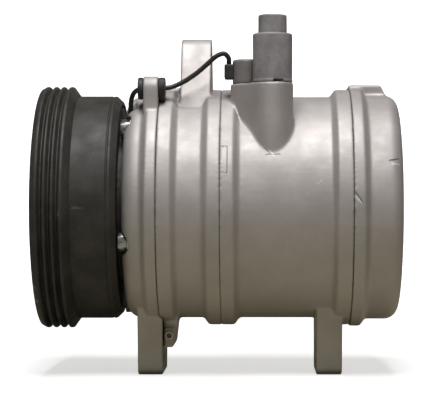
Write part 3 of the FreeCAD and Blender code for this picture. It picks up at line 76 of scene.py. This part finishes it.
class Nodes:
    """A material's node tree with short calls for the nodes that the finishes share."""

    def __init__(self, name):
        self.material = bpy.data.materials.new(name)
        self.material.use_nodes = True
        self.tree = self.material.node_tree
        self.shader = self.tree.nodes["Principled BSDF"]
        self.place = self.add("ShaderNodeTexCoord").outputs["Object"]

    def add(self, kind, **settings):
        node = self.tree.nodes.new(kind)
        for key, value in settings.items():
            setattr(node, key, value)
        return node

    def join(self, source, target):
        self.tree.links.new(source, target)

    def feed(self, socket, value):
        """Set a socket to a plain value or link it to another node's output."""
        if isinstance(value, bpy.types.NodeSocket):
            self.join(value, socket)
        else:
            socket.default_value = value

    def stretched(self, scale):
        """Object coordinates scaled separately along each axis."""
        mapping = self.add("ShaderNodeMapping")
        self.join(self.place, mapping.inputs["Vector"])
        mapping.inputs["Scale"].default_value = scale
        return mapping.outputs["Vector"]

    def noise(self, scale, detail=4.0, roughness=0.55, vector=None):
        node = self.add("ShaderNodeTexNoise")
        self.join(vector or self.place, node.inputs["Vector"])
        node.inputs["Scale"].default_value = scale
        node.inputs["Detail"].default_value = detail
        node.inputs["Roughness"].default_value = roughness
        return node.outputs["Fac"]

    def ramp(self, value, low_in, high_in, low_out=0.0, high_out=1.0):
        """Map a value's range smoothly onto another."""
        node = self.add("ShaderNodeMapRange", interpolation_type="SMOOTHSTEP")
        self.feed(node.inputs["Value"], value)
        limits = {"From Min": low_in, "From Max": high_in, "To Min": low_out, "To Max": high_out}
        for key, number in limits.items():
            node.inputs[key].default_value = number
        return node.outputs["Result"]

    def math(self, operation, a, b=0.0):
        node = self.add("ShaderNodeMath", operation=operation)
        self.feed(node.inputs[0], a)
        self.feed(node.inputs[1], b)
        return node.outputs[0]

    def mix(self, factor, first, second, blend="MIX"):
        node = self.add("ShaderNodeMix", data_type="RGBA", blend_type=blend)
        self.feed(node.inputs["Factor"], factor)
        self.feed(node.inputs[6], first)
        self.feed(node.inputs[7], second)
        return node.outputs[2]

    def crevice(self, reach):
        """1 in the open, lower in corners closer than `reach`."""
        node = self.add("ShaderNodeAmbientOcclusion", samples=8)
        node.inputs["Distance"].default_value = reach
        return node.outputs["AO"]

    def edge_wear(self, low_in, high_in):
        geometry = self.add("ShaderNodeNewGeometry")
        return self.ramp(geometry.outputs["Pointiness"], low_in, high_in)

    def axis(self, name):
        split = self.add("ShaderNodeSeparateXYZ")
        self.join(self.place, split.inputs[0])
        return split.outputs[name]

    def bump(self, height, strength, distance, under=None):
        node = self.add("ShaderNodeBump")
        node.inputs["Strength"].default_value = strength
        node.inputs["Distance"].default_value = distance
        self.join(height, node.inputs["Height"])
        if under is not None:
            self.join(under, node.inputs["Normal"])
        return node.outputs["Normal"]

    def finish(self, colour, roughness, normal=None, **plain):
        self.feed(self.shader.inputs["Base Color"], colour)
        self.feed(self.shader.inputs["Roughness"], roughness)
        if normal is not None:
            self.join(normal, self.shader.inputs["Normal"])
        for key, value in plain.items():
            self.shader.inputs[key.replace("_", " ")].default_value = value
        return self.material


def rgb(red, green, blue):
    return (red, green, blue, 1.0)


# ---------------------------------------------------------------- materials

# Marks in the paint on the camera side: (x, z) to (x, z) in millimetres, half width, darkness.
SCARS = (
    (75.0, 26.8, 78.2, 26.8, 0.16, 0.75),
    (78.2, 26.8, 78.2, 15.2, 0.14, 0.75),
    (78.2, 15.2, 75.2, 15.2, 0.12, 0.6),
    (134.2, 6.6, 137.2, 2.4, 0.24, 0.85),
    (149.6, 20.6, 153.6, 21.2, 0.30, 0.8),
    (95.2, 23.2, 101.4, 23.3, 0.22, 0.5),
    (94.6, 26.0, 97.2, 23.6, 0.2, 0.5),
)
CHIPS = (
    (134.6, 4.6, 136.6, 2.6, 0.7, 0.8),
    (151.0, 19.2, 153.4, 18.9, 0.55, 0.5),
    (97.0, 24.6, 98.6, 23.0, 0.45, 0.6),
    (117.6, 10.2, 119.8, 12.0, 0.22, 0.35),
    (112.4, 6.4, 114.0, 5.6, 0.2, 0.3),
)


def stroke(n, marks):
    """Mask of short straight marks on the near side, drawn in the object's own X and Z."""
    side = n.math("LESS_THAN", n.axis("Y"), 0.0)
    x = n.math("DIVIDE", n.axis("X"), MM)
    waver = n.ramp(n.noise(900.0, 2.0), 0.2, 0.8, -0.25, 0.25)
    z = n.math("ADD", n.math("DIVIDE", n.axis("Z"), MM), waver)
    total = None
    for x0, z0, x1, z1, half, strength in marks:
        length = math.hypot(x1 - x0, z1 - z0)
        ux, uz = (x1 - x0) / length, (z1 - z0) / length
        dx = n.math("SUBTRACT", x, x0)
        dz = n.math("SUBTRACT", z, z0)
        along = n.math("ADD", n.math("MULTIPLY", dx, ux), n.math("MULTIPLY", dz, uz))
        across = n.math("ADD", n.math("MULTIPLY", dx, -uz), n.math("MULTIPLY", dz, ux))
        from_middle = n.math("ABSOLUTE", n.math("SUBTRACT", along, length / 2))
        beyond = n.math("SUBTRACT", from_middle, length / 2)
        away = n.math("MAXIMUM", n.math("ABSOLUTE", across), beyond)
        mask = n.ramp(away, half * 1.5, half * 0.6, 0.0, strength)
        total = mask if total is None else n.math("MAXIMUM", total, mask)
    return n.math("MULTIPLY", total, side)


def cast_paint():
    """Silver-grey paint over die-cast aluminium: orange peel, dull patches, painted shade with
    patchy dirt in corners and painted warm bounce light underneath.
    """
    n = Nodes("cast_paint")
    cloud = n.noise(38.0, 5.0, 0.6)
    streaks = n.noise(55.0, 4.0, 0.6, n.stretched((0.5, 1.0, 2.4)))
    pepper = n.ramp(n.noise(1700.0, 2.0), 0.58, 0.72)
    colour = n.mix(n.ramp(cloud, 0.35, 0.68), rgb(0.455, 0.425, 0.412), rgb(0.53, 0.50, 0.485))
    colour = n.mix(n.ramp(streaks, 0.5, 0.8, 0.0, 0.4), colour, rgb(0.40, 0.365, 0.355))
    colour = n.mix(n.math("MULTIPLY", pepper, 0.2), colour, rgb(0.28, 0.265, 0.25))
    # Painted bounce light: below the middle the paint is mixed towards a brighter warm tone, as if
    # lit from the floor.
    underside_bounce_light = n.ramp(n.axis("Z"), 5 * MM, -55 * MM, 0.0, 0.55)
    colour = n.mix(underside_bounce_light, colour, rgb(0.60, 0.56, 0.455))
    # Painted shade: corners and crevices found by occlusion are darkened towards near black, broken
    # up by patchy noise like dirt.
    open_air = n.crevice(6 * MM)
    patchy = n.ramp(n.noise(160.0, 4.0), 0.3, 0.62, 0.6, 1.0)
    corner_shade_and_dirt = n.math("MULTIPLY", n.ramp(open_air, 0.8, 0.3), patchy)
    colour = n.mix(n.math("MULTIPLY", corner_shade_and_dirt, 0.62), colour, rgb(0.10, 0.088, 0.08))
    wear = n.math("MULTIPLY", n.edge_wear(0.53, 0.60), n.ramp(n.noise(240.0, 3.0), 0.42, 0.6))
    colour = n.mix(n.math("MULTIPLY", wear, 0.45), colour, rgb(0.74, 0.72, 0.71))
    colour = n.mix(stroke(n, CHIPS), colour, rgb(0.80, 0.78, 0.76))
    scars = stroke(n, SCARS)
    colour = n.mix(scars, colour, rgb(0.05, 0.043, 0.04))
    rough = n.ramp(n.noise(90.0, 4.0), 0.3, 0.7, 0.58, 0.68)
    skin = n.noise(420.0, 3.0, 0.5)
    sand = n.noise(2400.0, 2.0, 0.5)
    normal = n.bump(sand, 0.2, 0.05 * MM, n.bump(skin, 0.3, 0.16 * MM))
    normal = n.bump(n.math("SUBTRACT", 1.0, scars), 0.6, 0.2 * MM, normal)
    return n.finish(colour, rough, normal, Metallic=0.62, Specular_IOR_Level=0.5)


def black_paint():
    """Black baked paint on turned steel, dusty, with faint turning rings."""
    n = Nodes("black_paint")
    dust = n.noise(70.0, 5.0, 0.62)
    colour = n.mix(n.ramp(dust, 0.35, 0.7), rgb(0.027, 0.025, 0.021), rgb(0.052, 0.047, 0.041))
    fleck = n.ramp(n.noise(1500.0, 2.0), 0.64, 0.74)
    colour = n.mix(n.math("MULTIPLY", fleck, 0.35), colour, rgb(0.16, 0.15, 0.14))
    wear = n.math("MULTIPLY", n.edge_wear(0.54, 0.62), n.ramp(n.noise(200.0, 3.0), 0.4, 0.62))
    colour = n.mix(n.math("MULTIPLY", wear, 0.55), colour, rgb(0.30, 0.29, 0.28))
    rough = n.ramp(n.noise(120.0, 4.0), 0.3, 0.7, 0.50, 0.64)
    rings = n.noise(1.0, 2.0, 0.5, n.stretched((2600.0, 1.0, 1.0)))
    normal = n.bump(n.noise(1300.0, 3.0), 0.15, 0.06 * MM, n.bump(rings, 0.12, 0.05 * MM))
    return n.finish(colour, rough, normal, Metallic=0.1, Specular_IOR_Level=0.45)


def steel(name, tone, rough_low, rough_high, tint=(1.0, 1.0, 1.0)):
    """Bare or plated steel with faint machining marks, light staining and painted shade in its
    crevices.
    """
    n = Nodes(name)
    bright = rgb(*[tone * c for c in tint])
    dull = rgb(*[tone * 0.68 * c for c in tint])
    colour = n.mix(n.ramp(n.noise(220.0, 4.0), 0.35, 0.65), dull, bright)
    # Painted shade: crevices found by occlusion are darkened towards near black.
    colour = n.mix(n.ramp(n.crevice(2.5 * MM), 0.7, 0.3, 0.0, 0.6), colour, rgb(0.05, 0.045, 0.04))
    rough = n.ramp(n.noise(500.0, 3.0), 0.3, 0.7, rough_low, rough_high)
    lines = n.noise(4.0, 2.0, 0.5, n.stretched((900.0, 60.0, 60.0)))
    return n.finish(colour, rough, n.bump(lines, 0.12, 0.03 * MM), Metallic=1.0)


def moulded(name, dark, light, rough_low, rough_high, grain=1100.0, sheen=0.0):
    """Moulded rubber or plastic: fine grain, dusty patches and painted shade in corners."""
    n = Nodes(name)
    colour = n.mix(n.ramp(n.noise(150.0, 5.0, 0.6), 0.32, 0.68), rgb(*dark), rgb(*light))
    # Painted shade: corners and crevices found by occlusion are darkened.
    corners = n.ramp(n.crevice(3 * MM), 0.75, 0.35, 0.0, 0.5)
    colour = n.mix(corners, colour, rgb(*[c * 0.35 for c in dark]))
    rough = n.ramp(n.noise(260.0, 3.0), 0.3, 0.7, rough_low, rough_high)
    normal = n.bump(n.noise(grain, 3.0), 0.2, 0.06 * MM)
    return n.finish(colour, rough, normal, Sheen_Weight=sheen)


def winding():
    """Enamelled copper turns under clear resin."""
    n = Nodes("copper_winding")
    turns = n.add("ShaderNodeTexWave", wave_type="BANDS", bands_direction="X")
    n.join(n.place, turns.inputs["Vector"])
    turns.inputs["Scale"].default_value = 160.0
    colour = n.mix(turns.outputs["Fac"], rgb(0.10, 0.03, 0.012), rgb(0.36, 0.13, 0.05))
    return n.finish(colour, 0.35, n.bump(turns.outputs["Fac"], 0.4, 0.2 * MM), Coat_Weight=0.4)


def machined():
    """Turned aluminium with concentric tool marks."""
    n = Nodes("machined_aluminium")
    marks = n.noise(2.0, 2.0, 0.5, n.stretched((1800.0, 40.0, 40.0)))
    colour = n.mix(n.ramp(marks, 0.4, 0.6), rgb(0.55, 0.55, 0.56), rgb(0.72, 0.72, 0.73))
    rough = n.ramp(n.noise(300.0, 3.0), 0.3, 0.7, 0.22, 0.36)
    return n.finish(colour, rough, n.bump(marks, 0.2, 0.03 * MM), Metallic=1.0)


finishes = {
    "casting": cast_paint(),
    "black_paint": black_paint(),
    "bright_steel": steel("bright_steel", 0.62, 0.24, 0.4),
    "dark_steel": steel("dark_steel", 0.16, 0.34, 0.5, (1.0, 0.98, 0.95)),
    "machined": machined(),
    "bronze": steel("bronze", 0.55, 0.26, 0.42, (1.0, 0.74, 0.42)),
    "copper_winding": winding(),
    "rubber": moulded("rubber", (0.012, 0.012, 0.012), (0.03, 0.029, 0.028), 0.5, 0.72,
                      grain=900.0, sheen=0.15),
    "cap_grey": moulded("cap_grey", (0.21, 0.20, 0.20), (0.305, 0.29, 0.295), 0.42, 0.56),
    "switch_grey": moulded("switch_grey", (0.13, 0.122, 0.118), (0.2, 0.19, 0.185), 0.34, 0.5),
    "lead_black": moulded("lead_black", (0.008, 0.008, 0.008), (0.02, 0.02, 0.02), 0.34, 0.5,
                          grain=1600.0),
}
slot_of = {s["node"]: s["material_slot"] for s in frame["record"]["subparts"]}
held_by = frame["record"]["behaviour"]["bodies"]
body_of = {node: body for body, held in held_by.items() for node in held}


def dress(piece, finish):
    """Give a piece one finish in all its slots."""
    if not piece.material_slots:
        piece.data.materials.append(finishes[finish])
    for slot in piece.material_slots:
        slot.material = finishes[finish]


for name, piece in nodes.items():
    dress(piece, slot_of[name])


# ---------------------------------------------------------------- pieces made from CAD nodes

def new_piece(name, mesh, body, finish, *replaced):
    piece = bpy.data.objects.new(name, mesh)
    bpy.context.scene.collection.objects.link(piece)
    dress(piece, finish)
    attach(piece, body)
    if replaced:
        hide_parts(*replaced)
    return piece


def apply_modifiers(piece):
    """Bake the modifier stack into the mesh."""
    graph = bpy.context.evaluated_depsgraph_get()
    done = bpy.data.meshes.new_from_object(piece.evaluated_get(graph))
    old = piece.data
    piece.modifiers.clear()
    piece.data = done
    bpy.data.meshes.remove(old)


CAD_WELD = 0.002 * MM      # CAD faces meet within this
SEAM_CRISP = 0.7 * MM      # next to a seam hardly any smoothing
SEAM_BLEND = 1.6 * MM      # and half of it up to here
NO_SEAM = 1.0              # farther than any point of the object


def welded_copy(node):
    """The node's mesh with the seams between its CAD faces closed."""
    mesh = nodes[node].data.copy()
    mesh.materials.clear()
    work = bmesh.new()
    work.from_mesh(mesh)
    bmesh.ops.remove_doubles(work, verts=work.verts, dist=CAD_WELD)
    work.to_mesh(mesh)
    work.free()
    return mesh


def moulded_piece(name, node, voxel, passes, finish="casting", body="root", seams=()):
    """A node with the soft corners of a mould, kept crisp where a casting meets the next one."""
    piece = bpy.data.objects.new(name, welded_copy(node))
    bpy.context.scene.collection.objects.link(piece)
    grid = piece.modifiers.new("grid", "REMESH")
    grid.mode = "VOXEL"
    grid.voxel_size = voxel
    grid.adaptivity = 0.0
    apply_modifiers(piece)
    group = piece.vertex_groups.new(name="soft")
    near, middle, far = [], [], []
    for vertex in piece.data.vertices:
        gap = min([abs(vertex.co.x - seam) for seam in seams] or [NO_SEAM])
        (near if gap < SEAM_CRISP else middle if gap < SEAM_BLEND else far).append(vertex.index)
    group.add(near, 0.12, "REPLACE")
    group.add(middle, 0.55, "REPLACE")
    group.add(far, 1.0, "REPLACE")
    soft = piece.modifiers.new("soft", "SMOOTH")
    soft.factor = 0.5
    soft.iterations = passes
    soft.vertex_group = "soft"
    apply_modifiers(piece)
    for polygon in piece.data.polygons:
        polygon.use_smooth = True
    dress(piece, finish)
    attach(piece, body)
    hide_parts(node)
    return piece


SEAMS = (FRONT_SEAM, MIDDLE_SEAM, REAR_SEAM)
CASTING_GRID = 0.62 * MM
for casting in ("front_housing", "front_cylinder", "rear_cylinder", "rear_housing"):
    moulded_piece(casting + "_casting", casting, CASTING_GRID, 6, seams=SEAMS)
# Name, node, grid in millimetres, smoothing passes and finish of the small pieces.
SMALL_PIECES = (
    ("lead_boot_moulded", "lead_boot", 0.28, 22, "rubber"),
    ("lead_grommet_moulded", "lead_grommet", 0.28, 18, "rubber"),
    ("thermal_switch_can", "thermal_switch", 0.3, 5, "switch_grey"),
    ("oil_plug_worn", "oil_plug", 0.22, 6, "casting"),
    ("relief_valve_turned", "relief_valve", 0.25, 4, "bronze"),
)
for name, node, grid, passes, finish in SMALL_PIECES:
    moulded_piece(name, node, grid * MM, passes, finish)


SHARP_ANGLE = math.radians(38)


def eased_piece(node, width):
    """A node's own shape with its sharp edges broken and its round sides shaded smooth."""
    piece = new_piece(node + "_eased", welded_copy(node), body_of[node], slot_of[node], node)
    if width:
        bevel = piece.modifiers.new("eased", "BEVEL")
        bevel.width = width
        bevel.segments = 2
        bevel.limit_method = "ANGLE"
        bevel.angle_limit = SHARP_ANGLE
        bevel.harden_normals = True
        apply_modifiers(piece)
    for polygon in piece.data.polygons:
        polygon.use_smooth = True


EDGE_BREAKS = {
    0.3 * MM: ("through_bolts", "hub_nut", "clutch_hub", "armature_plate", "hub_rivets",
               "armature_rivets"),
    0.12 * MM: ("leaf_springs", "coil_shell", "bolt_washers", "bearing_inner_ring",
                "bearing_outer_ring"),
    0.0: ("coil_lead",),
}
for width, names in EDGE_BREAKS.items():
    for name in names:
        eased_piece(name, width)


# ---------------------------------------------------------------- turned pieces

TINY = 1e-7                # metres; radii under this are on the axis
MOST_OF_HALF = 0.45        # share of a side that one rounded corner may take
FINE_SEGMENTS = 224        # round the pulley
CAP_SEGMENTS = 96


def rounded(profile, radius, steps=3):
    """A closed outline of (along, out) corners, each rounded as far as its sides allow."""
    result = []
    count = len(profile)
    for i in range(count):
        before = Vector((*profile[i - 1], 0.0))
        corner = Vector((*profile[i], 0.0))
        after = Vector((*profile[(i + 1) % count], 0.0))
        if corner.y < TINY:
            result.append((corner.x, 0.0))
            continue
        coming, going = before - corner, after - corner
        reach = min(radius, MOST_OF_HALF * coming.length, MOST_OF_HALF * going.length)
        first = corner + coming.normalized() * reach
        last = corner + going.normalized() * reach
        for k in range(steps + 1):
            t = k / steps
            point = first.lerp(corner, t).lerp(corner.lerp(last, t), t)
            result.append((point.x, max(point.y, 0.0)))
    return result


def turned_mesh(name, profiles, segments=160):
    """Closed outlines of (x, radius) turned round the X axis, each between two angles."""
    vertices, faces = [], []
    for profile, first, last in profiles:
        whole = last - first >= 2 * math.pi - 1e-6
        steps = segments if whole else max(6, int(segments * (last - first) / (2 * math.pi)))
        rows = []
        for i in range(steps if whole else steps + 1):
            angle = first + (last - first) * i / steps
            row = []
            for x, radius in profile:
                row.append(len(vertices))
                vertices.append((x, radius * math.cos(angle), radius * math.sin(angle)))
            rows.append(row)
        count = len(profile)
        for i in range(steps):
            here, there = rows[i], rows[(i + 1) % len(rows)]
            for k in range(count):
                j = (k + 1) % count
                if profile[k][1] < TINY and profile[j][1] < TINY:
                    continue
                faces.append((here[k], here[j], there[j], there[k]))
        if not whole:
            faces.append(tuple(reversed(rows[0])))
            faces.append(tuple(rows[-1]))
    mesh = bpy.data.meshes.new(name)
    mesh.from_pydata(vertices, [], faces)
    work = bmesh.new()
    work.from_mesh(mesh)
    bmesh.ops.remove_doubles(work, verts=work.verts, dist=TINY)
    bmesh.ops.recalc_face_normals(work, faces=work.faces)
    work.to_mesh(mesh)
    work.free()
    for polygon in mesh.polygons:
        polygon.use_smooth = True
    return mesh


def full(profile, radius=0.25 * MM, steps=3):
    return rounded(profile, radius, steps), 0.0, 2 * math.pi


def scaled(points):
    return [(x * MM, r * MM) for x, r in points]


# Millimetres along the shaft line and out from it, as on the CAD pulley.
INSET = 0.02               # keeps turned pieces within the CAD's box
GROOVES = 3
GROOVE_PITCH = 3.56
GROOVE_DEPTH = 2.6
GROOVE_HALF_TOP = 1.3
GROOVE_HALF_FLOOR = 0.25
WEB_FRONT, WEB_REAR = 2.0, 8.0
DRUM_INNER, DRUM_OUTER = 47.4, 51.57
BEARING_SEAT, BEARING_SHOULDER, HUB_OUTER = 27.5, 25.5, 31.2
SLOT_INNER, SLOT_OUTER = 36.5, 39.5
SLOTS = 6
BRIDGE_HALF_ANGLE = math.radians(6)


def belt_ring():
    """The grooved ring with worn round lands."""
    crest = PULLEY_RADIUS / MM
    front = PULLEY_FRONT / MM
    land, floor = crest - INSET, crest - GROOVE_DEPTH
    outline = [(front, crest - 5.7), (front, crest - 1.2), (-5.84, land)]
    for i in range(GROOVES):
        middle = GROOVE_PITCH * (i - 1)
        outline += [(middle - GROOVE_HALF_TOP, land), (middle - GROOVE_HALF_FLOOR, floor)]
        outline += [(middle + GROOVE_HALF_FLOOR, floor), (middle + GROOVE_HALF_TOP, land)]
    outline += [(6.15, land), (9.25, crest - 4.42)]
    outline += [(WEB_FRONT, crest - 4.4), (WEB_FRONT, crest - 5.8)]
    mesh = turned_mesh("belt_ring_turned", [full(scaled(outline), 0.42 * MM, 4)], FINE_SEGMENTS)
    new_piece("belt_ring_turned", mesh, "pulley", "black_paint", "belt_ring")


def rotor():
    """Drum, web with its curved slots, and bearing hub of the pulley."""
    rear = PULLEY_REAR / MM
    drum = [(WEB_FRONT, DRUM_INNER), (WEB_FRONT, DRUM_OUTER), (24.4, DRUM_OUTER)]
    drum += [(24.7, 51.2), (25.1, 51.2), (25.4, DRUM_OUTER), (26.4, 51.5)]
    drum += [(rear, 48.9), (rear, DRUM_INNER), (WEB_REAR, DRUM_INNER)]
    hub = [(WEB_FRONT, BEARING_SHOULDER), (WEB_FRONT, SLOT_INNER), (WEB_REAR, SLOT_INNER)]
    hub += [(WEB_REAR, HUB_OUTER), (27.5, HUB_OUTER), (27.5, BEARING_SEAT), (25.5, BEARING_SEAT)]
    hub += [(25.5, 28.5), (24.0, 28.5), (24.0, BEARING_SEAT), (6.0, BEARING_SEAT)]
    hub += [(6.0, BEARING_SHOULDER)]
    rim = [(WEB_FRONT, SLOT_OUTER), (WEB_FRONT, 47.5), (WEB_REAR, 47.5), (WEB_REAR, SLOT_OUTER)]
    profiles = [full(scaled(drum), 0.3 * MM), full(scaled(hub)), full(scaled(rim))]
    bridge = scaled([(2.05, 36.4), (2.05, 39.6), (7.95, 39.6), (7.95, 36.4)])
    for i in range(SLOTS):
        middle = math.radians(60 * i + 30) + math.pi / 2
        profiles.append((bridge, middle - BRIDGE_HALF_ANGLE, middle + BRIDGE_HALF_ANGLE))
    mesh = turned_mesh("rotor_turned", profiles, FINE_SEGMENTS)
    new_piece("rotor_turned", mesh, "pulley", "black_paint", "pulley")


def upright(mesh, x, y):
    """Turn a mesh made round X to stand on Z, with its own x as height."""
    for vertex in mesh.vertices:
        along, across, out = vertex.co
        vertex.co = (x + across, y - out, along)
    mesh.flip_normals()
    return mesh


def cut_boxes(piece, boxes):
    """Take boxes (low corner, high corner) out of a piece."""
    for low_corner, high_corner in boxes:
        mesh = bpy.data.meshes.new("tool")
        work = bmesh.new()
        bmesh.ops.create_cube(work, size=1.0)
        for vertex in work.verts:
            for k in range(3):
                share = vertex.co[k] + 0.5
                vertex.co[k] = low_corner[k] + (high_corner[k] - low_corner[k]) * share
        work.to_mesh(mesh)
        work.free()
        tool = bpy.data.objects.new("tool", mesh)
        bpy.context.scene.collection.objects.link(tool)
        step = piece.modifiers.new("cut", "BOOLEAN")
        step.operation = "DIFFERENCE"
        step.object = tool
        apply_modifiers(piece)
        bpy.data.objects.remove(tool)
        bpy.data.meshes.remove(mesh)


CAP_BODIES = {"suction_port_cap": "suction_cap", "discharge_port_cap": "discharge_cap"}


def caps():
    """Moulded caps: a skirt with a pull knob, a stem in the port and a pry slot at the seat."""
    for node, body in CAP_BODIES.items():
        lower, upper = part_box(node)
        x = (lower.x + upper.x) / 2
        y = (lower.y + upper.y) / 2
        radius = (upper.x - lower.x) / 2 / MM
        top = upper.z / MM
        seat = mounts["suction_port"]["pos_m"][2] / MM
        knob_foot, knob_top = top - 8.4, top - 0.05
        outline = [(lower.z / MM, 0.0), (lower.z / MM, 6.1), (seat, 6.1), (seat, radius - INSET)]
        outline += [(seat + 0.9, radius - INSET), (seat + 1.3, radius - 0.18)]
        outline += [(knob_foot, radius - 0.12), (knob_foot, 6.55), (top - 8.1, 6.4)]
        outline += [(knob_top, 6.35), (knob_top, 0.0)]
        mesh = turned_mesh(node + "_moulded", [full(scaled(outline), 0.95 * MM, 5)], CAP_SEGMENTS)
        piece = new_piece(node + "_moulded", upright(mesh, x, y), body, "cap_grey", node)
        near = -1 if y < 0 else 1
        edge = sorted((y + near * radius * MM * 0.78, y + near * radius * MM * 1.2))
        slot_floor = (seat - 0.5) * MM
        slot_start, slot_end, slot_height = 0.4 * MM, 4.8 * MM, 1.7 * MM
        cut_boxes(piece, [((x + slot_start, edge[0], slot_floor),
                           (x + slot_end, edge[1], slot_floor + slot_height))])


belt_ring()
rotor()
caps()


# ---------------------------------------------------------------- stage, light and camera

CAMERA_DISTANCE = 0.8
CAMERA_X = 93.5 * MM
CAMERA_Z = 1.0 * MM
FRAME_WIDTH = 434.0        # pixels across the photographed frame
FOCAL_PIXELS = 1714.0
SHIFT_PIXELS = (-45.0, 5.0)
SENSOR_MM = 36.0
WORLD_STRENGTH = 0.10
FLOOR_GLOW = 0.62          # seen by the camera only, so it doesn't light the object


def stage_floor():
    """A plain pale sweep: flat floor that curves up into a wall far behind."""
    mesh = bpy.data.meshes.new("floor")
    half = 4.0
    front = -3.0
    depth = 2.2
    bend = 1.2
    wall_top = 4.0
    steps = 12
    section = [(front, 0.0)]
    for i in range(steps + 1):
        angle = math.pi / 2 * i / steps
        section.append((depth + bend * math.sin(angle), bend * (1 - math.cos(angle))))
    section.append((depth + bend, wall_top))
    vertices = []
    for y, z in section:
        vertices.append((CAMERA_X - half, y, FLOOR_Z + z))
        vertices.append((CAMERA_X + half, y, FLOOR_Z + z))
    faces = [(2 * i, 2 * i + 1, 2 * i + 3, 2 * i + 2) for i in range(len(section) - 1)]
    mesh.from_pydata(vertices, [], faces)
    for polygon in mesh.polygons:
        polygon.use_smooth = True
    piece = bpy.data.objects.new("floor", mesh)
    bpy.context.scene.collection.objects.link(piece)
    n = Nodes("floor")
    seen = n.add("ShaderNodeLightPath").outputs["Is Camera Ray"]
    tone = n.mix(seen, rgb(0.38, 0.35, 0.28), rgb(0.80, 0.80, 0.80))
    glow = n.math("MULTIPLY", seen, FLOOR_GLOW)
    n.shader.inputs["Emission Color"].default_value = rgb(1.0, 1.0, 1.0)
    n.join(glow, n.shader.inputs["Emission Strength"])
    piece.data.materials.append(n.finish(tone, 0.9))


def area_light(name, place, target, size, power):
    data = bpy.data.lights.new(name, "AREA")
    data.shape = "RECTANGLE"
    data.size, data.size_y = size
    data.energy = power
    lamp = bpy.data.objects.new(name, data)
    lamp.location = place
    lamp.rotation_mode = "QUATERNION"
    lamp.rotation_quaternion = (Vector(target) - Vector(place)).to_track_quat("-Z", "Y")
    bpy.context.scene.collection.objects.link(lamp)


def lights():
    middle = ((PULLEY_FRONT + REAR_END) / 2, 0.0, 0.0)
    # Name, place, target, size and watts.
    area_light("overhead", (middle[0], -0.36, 0.84), middle, (0.34, 0.62), 8.9)
    area_light("backdrop", (middle[0], 1.2, 1.4), (middle[0], 3.0, 0.2), (3.0, 1.0), 60.0)
    world = bpy.data.worlds.new("studio")
    world.use_nodes = True
    background = world.node_tree.nodes["Background"]
    background.inputs["Color"].default_value = rgb(1.0, 1.0, 1.0)
    background.inputs["Strength"].default_value = WORLD_STRENGTH
    bpy.context.scene.world = world


def camera():
    data = bpy.data.cameras.new("camera")
    data.sensor_width = SENSOR_MM
    data.lens = FOCAL_PIXELS * data.sensor_width / FRAME_WIDTH
    data.shift_x = SHIFT_PIXELS[0] / FRAME_WIDTH
    data.shift_y = SHIFT_PIXELS[1] / FRAME_WIDTH
    data.clip_end = 20.0
    data.dof.use_dof = False
    item = bpy.data.objects.new("camera", data)
    item.location = (CAMERA_X, -CAMERA_DISTANCE, CAMERA_Z)
    item.rotation_euler = (math.pi / 2, 0.0, 0.0)
    bpy.context.scene.collection.objects.link(item)
    bpy.context.scene.camera = item


stage_floor()
lights()
camera()
bpy.context.scene.view_settings.view_transform = "Standard"
